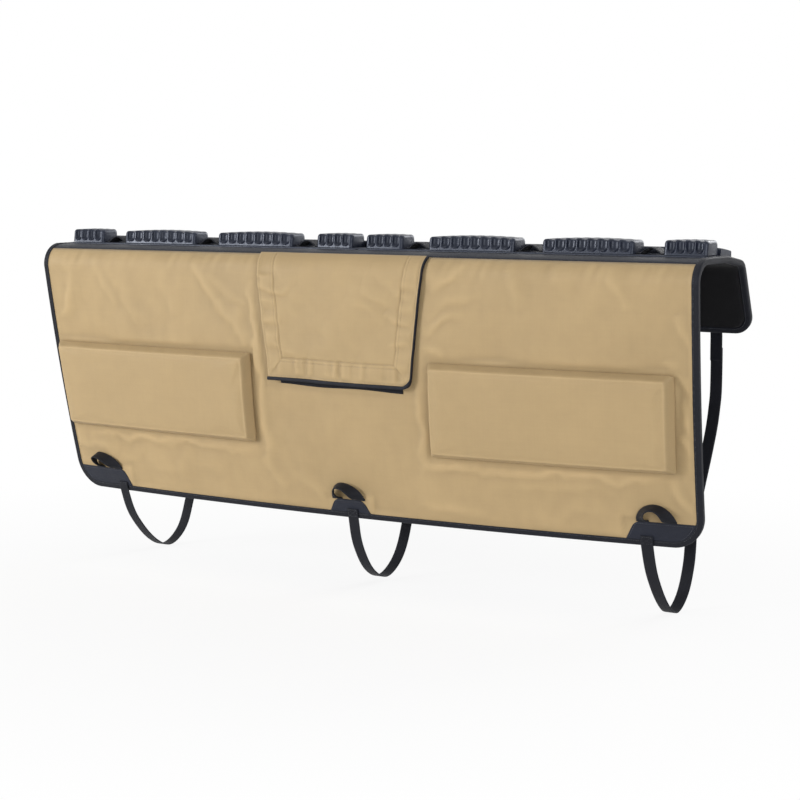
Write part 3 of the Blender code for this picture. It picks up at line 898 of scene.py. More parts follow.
class EffectShop:
    """Builds each shared node group once. Each takes a place and one number."""

    def __init__(self) -> None:
        """Starts with no group built."""
        self.built: dict[Effect, bpy.types.NodeTree] = {}

    def make(self, effect: Effect) -> bpy.types.NodeTree:
        """Builds the group of an effect.

        Args:
            effect: The effect that the group makes.

        Returns:
            The group.
        """
        number, value, outputs = EFFECT_SOCKETS[effect]
        tree = bpy.data.node_groups.new(effect.value, "ShaderNodeTree")
        tree.interface.new_socket("Place", in_out="INPUT", socket_type="NodeSocketVector")
        tree.interface.new_socket(number, in_out="INPUT", socket_type="NodeSocketFloat").default_value = value
        for name in outputs:
            tree.interface.new_socket(name, in_out="OUTPUT", socket_type="NodeSocketFloat")
        graph = Graph(tree)
        given = graph.add("NodeGroupInput").outputs
        made = getattr(self, effect.name.lower())(graph, given["Place"], given[number])
        out = graph.add("NodeGroupOutput")
        for name, socket in zip(outputs, made):
            graph.feed(out.inputs[name], socket)
        return tree

    def weave(self, graph: Graph, place: object, pitch: object) -> Sockets:
        """Plain weave of uneven threads that pass over and under each other.

        Args:
            graph: The group's graph.
            place: Place on the cloth.
            pitch: Distance between threads.

        Returns:
            The height, and a fleck of tone along the threads.
        """
        axes = graph.add("ShaderNodeSeparateXYZ", Vector=place)
        waves = [
            graph.math("SINE", graph.math("DIVIDE", graph.times(axes.outputs[number], math.pi), pitch))
            for number in (0, 1)
        ]
        over = graph.math("GREATER_THAN", graph.times(*waves), 0.0)
        warp, weft = (graph.math("ABSOLUTE", wave) for wave in waves)
        crossed = [
            graph.times(across, graph.math("ADD", graph.times(along, 0.4), 0.6))
            for across, along in ((warp, weft), (weft, warp))
        ]
        under = graph.math("SUBTRACT", 1.0, over)
        height = graph.math("ADD", graph.times(crossed[0], over), graph.times(crossed[1], under))
        streaks = []
        for scale in ((420.0, 9.0, 60.0), (9.0, 420.0, 60.0)):
            moved = graph.add("ShaderNodeMapping", {"vector_type": "POINT"}, Vector=place, Scale=scale)
            streaks.append(graph.noise(moved.outputs[0], 1.0, 2.0))
        return height, graph.span(graph.blend(streaks[0], 0.5, streaks[1]), 0.36, 0.64, 0.0, 1.0)

    def mottle(self, graph: Graph, place: object, scale: object) -> Sockets:
        """Soft changes of tone, large and small."""
        total = graph.blend(graph.noise(place, scale, 2.0), 0.65, graph.noise(place, graph.times(scale, 7.0), 4.0))
        return (graph.span(total, 0.34, 0.66, 0.0, 1.0),)

    def wear(self, graph: Graph, place: object, amount: object) -> Sockets:
        """Edges that are bent outwards, broken up by a fine noise, as wear, and painted shade in the hollows.

        Args:
            graph: The group's graph.
            place: Place on the piece.
            amount: How much is rubbed.

        Returns:
            The rubbed edges, and the painted shade of the hollows.
        """
        bend = graph.add("ShaderNodeNewGeometry").outputs["Pointiness"]
        broken = graph.span(graph.noise(place, 120.0, 5.0), 0.35, 0.65, 0.25, 1.0)
        rubbed = graph.times(graph.span(bend, 0.505, 0.56, 0.0, 1.0), broken)
        # Painted shade: concave places darker.
        hollow_shade = graph.span(bend, 0.495, 0.44, 0.0, 1.0)
        return tuple(graph.math("MULTIPLY", part, amount, clamp=True) for part in (rubbed, hollow_shade))

    def dust(self, graph: Graph, place: object, amount: object) -> Sockets:
        """Fine dust on what faces up.

        Args:
            graph: The group's graph.
            place: Place on the piece.
            amount: How much dust there is.

        Returns:
            The dust.
        """
        facing = graph.add("ShaderNodeSeparateXYZ", Vector=graph.add("ShaderNodeNewGeometry").outputs["Normal"])
        up = graph.span(facing.outputs["Z"], 0.1, 0.95, 0.0, 1.0)
        drift = graph.span(graph.noise(place, 28.0, 6.0), 0.38, 0.68, 0.2, 1.0)
        return (graph.math("MULTIPLY", graph.times(up, drift), amount, clamp=True),)

    def ribs(self, graph: Graph, place: object, rib: object) -> Sockets:
        """Webbing: ribs along its length crossed by slanted picks that turn at the middle.

        Args:
            graph: The group's graph.
            place: Place on the webbing.
            rib: Distance between ribs.

        Returns:
            The height and the picks.
        """
        axes = graph.add("ShaderNodeSeparateXYZ", Vector=place)
        across, along = axes.outputs[0], axes.outputs[1]
        turn = graph.math("DIVIDE", graph.times(across, math.pi), rib)
        ribbed = graph.math("ABSOLUTE", graph.math("SINE", turn))
        slant = graph.math("ADD", along, graph.times(graph.math("ABSOLUTE", across), 0.7))
        pick = graph.math("ABSOLUTE", graph.math("SINE", graph.times(slant, math.pi / 0.0012)))
        return graph.blend(ribbed, 0.65, pick), pick

    def grain(self, graph: Graph, place: object, scale: object) -> Sockets:
        """Skin of moulded foam: fine closed grain with a few pits.

        Args:
            graph: The group's graph.
            place: Place on the piece.
            scale: How fine the grain is.

        Returns:
            The height and the pits.
        """
        cells = graph.add("ShaderNodeTexVoronoi", {"feature": "SMOOTH_F1"}, Vector=place, Scale=scale)
        height = graph.blend(cells.outputs["Distance"], 0.6, graph.noise(place, scale, 4.0))
        return height, graph.span(graph.noise(place, 220.0, 2.0), 0.62, 0.72, 0.0, 1.0)

    def place(self, effect: Effect, graph: Graph, **inputs: object) -> bpy.types.Node:
        """Puts a shared effect into a material.

        Args:
            effect: Which effect.
            graph: The material's graph.
            inputs: Its values or sockets by name.

        Returns:
            The group's node.
        """
        if effect not in self.built:
            self.built[effect] = self.make(effect)
        node = graph.tree.nodes.new("ShaderNodeGroup")
        node.node_tree = self.built[effect]
        for name, value in inputs.items():
            graph.feed(node.inputs[name], value)
        return node


SHOP = EffectShop()
Color = tuple[float, float, float]


def begin(name: str, **plain: object) -> tuple[bpy.types.Material, Graph, bpy.types.Node]:
    """Starts a material.

    Args:
        name: Its name.
        plain: Values for the shader's own sockets by name, with _ for a space.

    Returns:
        The material, its graph and its shader.
    """
    made = bpy.data.materials.new(name)
    made.use_nodes = True
    shader = made.node_tree.nodes["Principled BSDF"]
    for socket, value in plain.items():
        shader.inputs[socket.replace("_", " ")].default_value = value
    return made, Graph(made.node_tree), shader


def bumped(graph: Graph, shader: bpy.types.Node, heights: Sequence[tuple[object, float]]) -> None:
    """Chains bumps into a shader.

    Args:
        graph: The material's graph.
        shader: The shader that they feed.
        heights: Pairs of a height socket and its depth in metres.
    """
    normal = None
    for height, depth in heights:
        bump = graph.add("ShaderNodeBump", Height=height, Strength=1.0, Distance=depth)
        if normal is not None:
            graph.feed(bump.inputs["Normal"], normal)
        normal = bump.outputs[0]
    graph.feed(shader.inputs["Normal"], normal)


def lit(color: Color, share: float) -> tuple[float, float, float, float]:
    """A colour made lighter or darker."""
    return (*(channel * share for channel in color), 1.0)


@dataclass(frozen=True)
class FabricFinish:
    """Coated woven fabric."""

    name: str
    color: Color
    rubbed: Color
    pitch: float = 0.0009
    weave_depth: float = 0.00008
    mottle: float = 0.09
    roughness: float = 0.62
    sheen: float = 0.05
    dust: float = 0.0
    gloss: float = 0.22
    # Strength of the painted shading: darker in hollows, lighter on ridges.
    hollow_shade: float = 0.14

    def build(self) -> bpy.types.Material:
        """Builds the material.

        Returns:
            The material.
        """
        plain = {"Sheen_Weight": self.sheen, "Sheen_Roughness": 0.45, "Specular_IOR_Level": self.gloss}
        made, graph, shader = begin(self.name, **plain)
        place = graph.add("ShaderNodeAttribute", {"attribute_name": PLACE}).outputs["Vector"]
        weave = SHOP.place(Effect.WEAVE, graph, Place=place, Pitch=self.pitch).outputs
        tone = SHOP.place(Effect.MOTTLE, graph, Place=place, Scale=5.0).outputs["Tone"]
        wear = SHOP.place(Effect.WEAR, graph, Place=place, Amount=0.5).outputs
        broad = graph.mix(tone, lit(self.color, 1 - self.mottle), lit(self.color, 1 + self.mottle))
        thread = graph.span(weave["Height"], 0.0, 1.0, 0.90, 1.03)
        fleck = graph.span(weave["Fleck"], 0.0, 1.0, 0.988, 1.012)
        # Painted shading: darker in hollows and beside what lies on the cloth, lighter on ridges.
        fold = graph.add("ShaderNodeAttribute", {"attribute_name": PAINTED_SHADE}).outputs["Fac"]
        shade = graph.span(fold, -1.0, 1.0, 1 - self.hollow_shade, 1 + self.hollow_shade * 0.5)
        toned = graph.mix(1.0, broad, graph.times(graph.times(thread, fleck), shade), "MULTIPLY")
        worn = graph.mix(graph.times(wear["Rubbed"], 0.5), toned, lit(self.rubbed, 1.0))
        # Painted shade: concave hollows turn to a darker copy of the cloth's colour.
        color = graph.mix(graph.times(wear["Hollow_Shade"], 0.35), worn, lit(self.color, 0.55))
        if self.dust:
            film = SHOP.place(Effect.DUST, graph, Place=place, Amount=self.dust)
            color = graph.mix(film.outputs["Dust"], color, lit(self.rubbed, 1.2))
        graph.feed(shader.inputs["Base Color"], color)
        rough = graph.span(tone, 0.0, 1.0, self.roughness - 0.06, self.roughness + 0.06)
        graph.feed(shader.inputs["Roughness"], rough)
        bumped(graph, shader, ((tone, 0.0008), (weave["Height"], self.weave_depth)))
        return made


@dataclass(frozen=True)
class WebbingFinish:
    """Woven webbing and binding tape."""

    name: str
    color: Color
    rubbed: Color
    rib: float = 0.0021
    depth: float = 0.00022
    sheen: float = 0.25

    def build(self) -> bpy.types.Material:
        """Builds the material.

        Returns:
            The material.
        """
        plain = {"Sheen_Weight": self.sheen, "Sheen_Roughness": 0.4, "Specular_IOR_Level": 0.22}
        made, graph, shader = begin(self.name, **plain)
        place = graph.add("ShaderNodeAttribute", {"attribute_name": PLACE}).outputs["Vector"]
        ribs = SHOP.place(Effect.RIBS, graph, Place=place, Rib=self.rib).outputs
        wear = SHOP.place(Effect.WEAR, graph, Place=place, Amount=0.8).outputs
        tone = SHOP.place(Effect.MOTTLE, graph, Place=place, Scale=24.0).outputs["Tone"]
        base = graph.mix(tone, lit(self.color, 0.82), lit(self.color, 1.18))
        ribbed = graph.mix(1.0, base, graph.span(ribs["Height"], 0.0, 1.0, 0.6, 1.25), "MULTIPLY")
        worn = graph.mix(graph.times(wear["Rubbed"], 0.6), ribbed, lit(self.rubbed, 1.0))
        graph.feed(shader.inputs["Base Color"], worn)
        graph.feed(shader.inputs["Roughness"], graph.span(ribs["Pick"], 0.0, 1.0, 0.74, 0.58))
        bumped(graph, shader, ((ribs["Height"], self.depth),))
        return made


@dataclass(frozen=True)
class MouldedFinish:
    """Closed-cell foam or rubber from a mould."""

    name: str
    color: Color
    rubbed: Color
    roughness: float = 0.48

    def build(self) -> bpy.types.Material:
        """Builds the material.

        Returns:
            The material.
        """
        made, graph, shader = begin(self.name, Specular_IOR_Level=0.40, Specular_Tint=(0.80, 0.86, 1.0, 1.0))
        place = graph.add("ShaderNodeTexCoord").outputs["Object"]
        grain = SHOP.place(Effect.GRAIN, graph, Place=place, Scale=900.0).outputs
        wear = SHOP.place(Effect.WEAR, graph, Place=place, Amount=1.0).outputs
        tone = SHOP.place(Effect.MOTTLE, graph, Place=place, Scale=14.0).outputs["Tone"]
        dust = SHOP.place(Effect.DUST, graph, Place=place, Amount=0.22).outputs["Dust"]
        base = graph.mix(tone, lit(self.color, 0.88), lit(self.color, 1.12))
        # Painted shade: concave hollows turn to a darker copy of the foam's colour.
        hollow_shade = graph.mix(graph.times(wear["Hollow_Shade"], 0.5), base, lit(self.color, 0.5))
        worn = graph.mix(graph.times(wear["Rubbed"], 0.55), hollow_shade, lit(self.rubbed, 1.0))
        pitted = graph.mix(graph.times(grain["Pits"], 0.4), worn, lit(self.color, 0.6))
        graph.feed(shader.inputs["Base Color"], graph.mix(dust, pitted, lit(self.rubbed, 1.5)))
        rough = graph.span(tone, 0.0, 1.0, self.roughness - 0.07, self.roughness + 0.09)
        graph.feed(shader.inputs["Roughness"], rough)
        bumped(graph, shader, ((grain["Height"], 0.00012), (grain["Pits"], 0.0002)))
        return made


@dataclass(frozen=True)
class ThreadFinish:
    """Twisted sewing thread."""

    name: str
    color: Color

    def build(self) -> bpy.types.Material:
        """Builds the material.

        Returns:
            The material.
        """
        made, graph, shader = begin(self.name, Sheen_Weight=0.3)
        place = graph.add("ShaderNodeTexCoord").outputs["Object"]
        tone = SHOP.place(Effect.MOTTLE, graph, Place=place, Scale=160.0).outputs["Tone"]
        strands = {"bands_direction": "DIAGONAL"}
        twist = graph.add("ShaderNodeTexWave", strands, Vector=place, Scale=900.0).outputs["Fac"]
        base = graph.mix(tone, lit(self.color, 0.85), lit(self.color, 1.15))
        shaded = graph.mix(1.0, base, graph.span(twist, 0.0, 1.0, 0.8, 1.05), "MULTIPLY")
        graph.feed(shader.inputs["Base Color"], shaded)
        graph.feed(shader.inputs["Roughness"], graph.span(twist, 0.0, 1.0, 0.6, 0.45))
        bumped(graph, shader, ((twist, 0.0001),))
        return made


class Cloths:
    """Every finish on the pad, each material made when first asked for."""

    SAND = FabricFinish("sand_coated_fabric", (0.510, 0.370, 0.195), (0.60, 0.47, 0.29), 0.0010, 0.00008, 0.05, 0.56, 0.05)
    SAND_PAD = FabricFinish("sand_pad_fabric", (0.510, 0.370, 0.195), (0.61, 0.48, 0.30), 0.0010, 0.00008, 0.04, 0.55, 0.05)
    NAVY = FabricFinish("navy_coated_fabric", (0.0058, 0.0072, 0.0135), (0.024, 0.029, 0.046), 0.0011, 0.00014, 0.16, 0.46, 0.04, 0.05)
    PATCH = FabricFinish("navy_patch_fabric", (0.0145, 0.0172, 0.029), (0.040, 0.045, 0.066), 0.0014, 0.00022, 0.15, 0.50, 0.05)
    FLEECE = FabricFinish("lining_fleece", (0.0055, 0.0055, 0.0068), (0.015, 0.015, 0.018), 0.0022, 0.0004, 0.25, 0.95, 0.08)
    HOOK = FabricFinish("hook_strip", (0.008, 0.009, 0.014), (0.02, 0.022, 0.03), 0.0017, 0.0005, 0.2, 0.85, 0.06)
    TAPE = WebbingFinish("binding_tape", (0.0066, 0.0075, 0.0120), (0.026, 0.029, 0.040), 0.0016, 0.00015, 0.04)
    WEBBING = WebbingFinish("strap_webbing", (0.0062, 0.0070, 0.0112), (0.024, 0.026, 0.034), 0.0021, 0.00022, 0.04)
    BLOCK = MouldedFinish("block_foam", (0.0095, 0.0125, 0.024), (0.036, 0.042, 0.066), 0.36)
    RAIL = MouldedFinish("rail_foam", (0.0085, 0.011, 0.020), (0.034, 0.040, 0.060), 0.44)
    SAND_THREAD = ThreadFinish("sand_thread", (0.43, 0.31, 0.165))
    NAVY_THREAD = ThreadFinish("navy_thread", (0.022, 0.025, 0.038))

    def __init__(self) -> None:
        """Starts with no material made."""
        self.made: dict[str, bpy.types.Material] = {}

    def material(self, finish: FabricFinish | WebbingFinish | MouldedFinish | ThreadFinish) -> bpy.types.Material:
        """The material of a finish."""
        if finish.name not in self.made:
            self.made[finish.name] = finish.build()
        return self.made[finish.name]


@dataclass
class Fitter:
    """Puts finished pieces on the pad's body."""

    cloths: Cloths = field(default_factory=Cloths)

    def fit(self, piece: bpy.types.Object, finish: object, slot: str, replaces: str | None = None) -> bpy.types.Object:
        """Gives a piece its material and its body, and hides the CAD node that it stands for.

        Args:
            piece: The piece, in place.
            finish: Its finish.
            slot: The record's material slot; not used.
            replaces: The CAD node that it stands for, if any.

        Returns:
            The piece.
        """
        piece.data.materials.clear()
        piece.data.materials.append(self.cloths.material(finish))
        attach(piece, "root")
        if replaces:
            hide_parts(replaces)
        LOG.info("%s: %d faces", piece.name, len(piece.data.polygons))
        return piece


# The cover


@dataclass
class FrontCover:
    """The padded sand coloured front, with its creases and the opening behind the flap."""

    skin: PadSkin
    fitter: Fitter
    pitch: float = 0.0052
    flap_half: float = 0.2057
    flap_narrowing: float = 0.026
    flap_length: float = 0.2488
    flap_reach: float = 0.261
    pad_sides: tuple[tuple[float, float], ...] = ((-0.767, -0.214), (0.214, 0.738))
    pad_rows: tuple[float, float] = (0.141, 0.335)
    patches: tuple[tuple[float, float, float], ...] = (
        (-0.80, -0.6125, 0.052), (0.626, 0.80, 0.052), (-0.05, 0.058, 0.044)
    )
    creases: tuple[Crease, ...] = creases_of(
        (-702, -85, -745, -215, 11, 4.2), (-600, -95, -500, -225, 12, 3),
        (-640, -80, -590, -175, 8, 2.2), (-375, -72, -285, -185, 10, 4),
        (-300, -150, -225, -250, 10, 4), (-330, -100, -232, -165, 9, 2.4),
        (-455, -85, -420, -190, 14, 2.2), (-214, -110, -204, -300, 8, 5),
        (-196, -240, -190, -460, 8, 4.4), (-220, -330, -176, -500, 9, 3),
        (-205, -470, -150, -535, 10, 2.4), (212, -128, 285, -76, 8, 3.2),
        (208, -170, 330, -110, 9, 2.6), (196, -198, 292, -160, 7, 3),
        (194, -222, 262, -250, 7, 2.4), (386, -66, 415, -150, 11, 2.2),
        (602, -68, 632, -150, 10, 2.4), (500, -70, 505, -125, 9, 1.6),
        (738, -150, 778, -225, 8, 3), (715, -228, 776, -300, 8, 4),
        (742, -296, 775, -385, 7, 3.4), (742, -370, 778, -445, 7, 3.4),
        (716, -452, 778, -540, 9, 3.2), (190, -300, 204, -478, 9, 3.4),
        (180, -480, 300, -462, 8, 2.6), (200, -464, 720, -466, 6, 3.6),
        (-735, -466, -215, -464, 6, 3.4), (-792, -470, -640, -512, 9, 3.2),
        (-770, -548, -560, -500, 10, 3), (-590, -520, -300, -505, 13, 1.8),
        (-130, -495, -30, -565, 13, 2.4), (340, -490, 630, -482, 10, 2.2),
        (160, -535, 370, -566, 10, 2.2), (420, -560, 600, -520, 12, 1.8),
    )

    def off_pads(self, x: Array, t: Array, slack: float) -> Array:
        """0 under the raised pads, rising to 1 a slack away from them."""
        rows = [self.skin.front_end + row for row in self.pad_rows]
        return math.prod(outside(x, t, (*sides, *rows), slack) for sides in self.pad_sides)

    def beyond_flap(self, x: Array, t: Array) -> Array:
        """How far places lie outside the flap's outline."""
        into = self.skin.seam - t
        half = self.flap_half - self.flap_narrowing * np.clip(into / self.flap_length, 0.0, 1.0)
        return np.maximum(np.abs(x) - half, into - self.flap_reach)

    def lift(self, x: Array, t: Array) -> Array:
        """Height that creases and slack add to the front's face.

        Args:
            x: Places across.
            t: Arc lengths.

        Returns:
            Heights, 0 under what lies on the front.
        """
        skin = self.skin
        slack = noise(x, t, 0.13, 3) * 0.0024 + noise(x, t, 0.055, 4) * 0.0011 + noise(x, t * 0.5, 0.02, 5) * 0.0003
        into = skin.seam - t
        gathers = noise(x + into * 0.35, t * 0.12, 0.013, 6) * ridge(into, 0.0, 0.030) * 0.0022
        gathers = gathers * (0.55 + 0.45 * noise(x, t * 0.3, 0.11, 7))
        free = ramp(skin.from_edge(x, t), skin.lip + 0.002, skin.lip + 0.010) * ramp(into, 0.0, 0.008)
        free = free * self.off_pads(x, t, 0.006) * ramp(self.beyond_flap(x, t), 0.001, 0.006)
        for low, high, rise in self.patches:
            free = free * outside(x, t, (low, high, skin.front_end, skin.front_end + rise), 0.010)
        return (slack + gathers + creased(self.creases, x, t, 0.011)) * free

    def shading(self, x: Array, t: Array) -> Array:
        """Painted shading of the front: lighter on its ridges, darker in its hollows, and painted shade against the
        edges of what lies on it.

        Args:
            x: Places across.
            t: Arc lengths.

        Returns:
            Array between about -1 and 1.
        """
        skin = self.skin
        # Painted shade along the edges of the pads, the flap, the pad's outline and the top seam.
        seams = (
            1 - self.off_pads(x, t, 0.016),
            1 - ramp(self.beyond_flap(x, t), 0.0, 0.014),
            (1 - ramp(skin.from_edge(x, t), skin.lip, skin.lip + 0.010)) * 0.7,
            (1 - ramp(skin.seam - t, 0.0, 0.010)) * 0.8,
        )
        return relief(self.lift(x, t), 9, 0.0011) - np.maximum.reduce(seams) * 0.9

    def build(self) -> None:
        """Builds and dresses the front."""
        skin = self.skin
        corner = skin.front_end + skin.corner * quarter(13)
        rows = np.concatenate([corner[:-1], stops((corner[-1], *skin.opening, skin.seam), self.pitch)])
        x, t, keep = skin.opened_grid(rows, self.pitch)
        round_off = (1 - ramp(skin.from_edge(x, t), 0.0, 0.004)) * 0.0012
        low = skin.panel_low + round_off
        high = np.maximum(skin.laminate + self.lift(x, t) - round_off, skin.panel_low + 0.004)
        piece = closed_sheet("front_cover", skin, x, t, low, high, keep, self.shading(x, t))
        self.fitter.fit(piece, Cloths.SAND, "front_panel", "front_panel")


@dataclass
class TopCover:
    """The dark padded strip on the tailgate's top edge, and the back flap."""

    skin: PadSkin
    fitter: Fitter
    pitch: float = 0.006
    columns: int = 241
    row_middle: float = 0.035
    row_reach: tuple[float, float] = (0.056, 0.075)
    tabs: tuple[float, ...] = (-0.70, -0.008, 0.70)
    tab: tuple[float, float] = (0.016, 0.05)

    def panel(self, name: str, node: str, low_t: float, high_t: float, seed: int) -> None:
        """One dark panel.

        Args:
            name: Name of the piece.
            node: The node that it stands for.
            low_t: Where it begins.
            high_t: Where it ends.
            seed: Picks its slack.
        """
        skin = self.skin
        if high_t > skin.back_end - 0.001:
            corner = skin.back_end - skin.back_corner * quarter(11)[::-1]
            rows = np.concatenate([stops((low_t, corner[0]), self.pitch), corner[1:]])
        else:
            rows = stops((low_t, high_t), self.pitch * 0.6)
        shares = np.linspace(-1, 1, self.columns)
        t = np.repeat(rows[:, None], len(shares), 1)
        x = shares[None, :] * skin.half_width(t)
        free = ramp(skin.from_edge(x, t), skin.lip + 0.003, skin.lip + 0.02)
        free = free * ramp(np.minimum(t - low_t, high_t - t), 0.001, 0.02)
        free = free * np.where(t > skin.fold, 1.0, ramp(np.abs(t - self.row_middle), *self.row_reach))
        half, sewn = self.tab
        for place in self.tabs:
            free = free * outside(x, t, (place - half, place + half, skin.back_end - sewn, skin.back_end), 0.014)
        slack = noise(x, t, 0.09, seed) * 0.0012 + noise(x, t * 0.6, 0.03, seed + 1) * 0.0005
        fold = 0.00045 * ridge(t - low_t, 0.004, 0.003) if low_t > 0 else 0.0
        piece = closed_sheet(name, skin, x, t, skin.panel_low, skin.laminate + slack * free - fold)
        self.fitter.fit(piece, Cloths.NAVY, node, node)

    def build(self) -> None:
        """Builds both dark panels."""
        skin = self.skin
        self.panel("top_cover", "top_panel", skin.seam + GAP, skin.fold - GAP / 2, 21)
        self.panel("back_cover", "back_flap", skin.fold + GAP / 2, skin.back_end, 31)


@dataclass
class Lining:
    """The soft sheet on the inner side."""

    skin: PadSkin
    fitter: Fitter
    inset: float = 0.012
    pitch: float = 0.009
    area_share: float = 0.99

    def build(self) -> None:
        """Builds and dresses the lining."""
        skin = self.skin
        first, last = skin.front_end + self.inset, skin.back_end - self.inset
        front = first + (skin.corner - self.inset) * quarter(8)
        back = last - (skin.back_corner - self.inset) * quarter(8)[::-1]
        rows = np.concatenate([front[:-1], stops((front[-1], *skin.opening, back[0]), self.pitch), back[1:]])
        x, t, keep = skin.opened_grid(rows, self.pitch, self.inset)
        slack = np.abs(noise(x, t, 0.05, 41)) * 0.0006 + np.abs(noise(x, t, 0.016, 42)) * 0.0004
        under = slack * ramp(np.abs(t), 0.045, 0.09)
        piece = closed_sheet("lining_sheet", skin, x, t, under, skin.lining, keep)
        self.fitter.fit(piece, Cloths.FLEECE, "lining", "lining")


@dataclass
class EdgeTape:
    """Tape folded over the pad's outline, with its row of stitches."""

    skin: PadSkin
    fitter: Fitter
    pitch: float = 0.0055
    radius: float = 0.003

    def build(self) -> None:
        """Builds the tape and its stitches."""
        skin, radius = self.skin, self.radius
        line = skin.outline(self.pitch)
        out = outward(line, True)
        reach = run_lengths(line)[:, None]
        low, high, lip, wrap = skin.panel_low, skin.laminate, skin.lip, GAP + skin.tape
        section = [(-lip, high + GAP), (-lip - 0.0002, high + wrap * 0.6), (-lip + 0.0008, high + wrap)]
        section += [(-lip * 0.72, high + wrap * 0.8), (-lip * 0.5, high + wrap), (-radius, high + wrap)]
        section += turned_edge(wrap, low, high, radius, 18)
        section += [(-lip * 0.5, low - wrap), (-lip, low - wrap), (-lip, low - GAP)]
        section += [(GAP, low - GAP), (GAP, high + GAP)]
        d, n = np.array(section).T
        pucker = 0.00022 * np.sin(reach / 0.0023) + 0.0003 * noise(reach, np.full_like(reach, 0.5), 0.02, 8)
        heights = n + pucker * ((n > high + wrap * 0.5) & (d < -0.001))
        rings = skin.place(line[:, :1] + out[:, :1] * d, line[:, 1:] + out[:, 1:] * d, heights)
        places = np.stack(np.broadcast_arrays(n * 0.4 + d, reach, n), -1)
        piece = swept("edge_tape", rings, True, places)
        self.fitter.fit(piece, Cloths.TAPE, "edge_binding", "edge_binding")
        thread = StitchRun(rise=0.0004)
        inner = line - out * lip * 0.74
        closed = np.vstack([inner, inner[:1]])
        outs = skin.outs(closed)
        for height, side in ((high + wrap * 0.84, 1), (low - wrap, -1)):
            thread.sew(skin.place(*closed.T, height), [away * side for away in outs])
        self.fitter.fit(thread.build("edge_tape_stitches"), Cloths.NAVY_THREAD, "edge_binding")


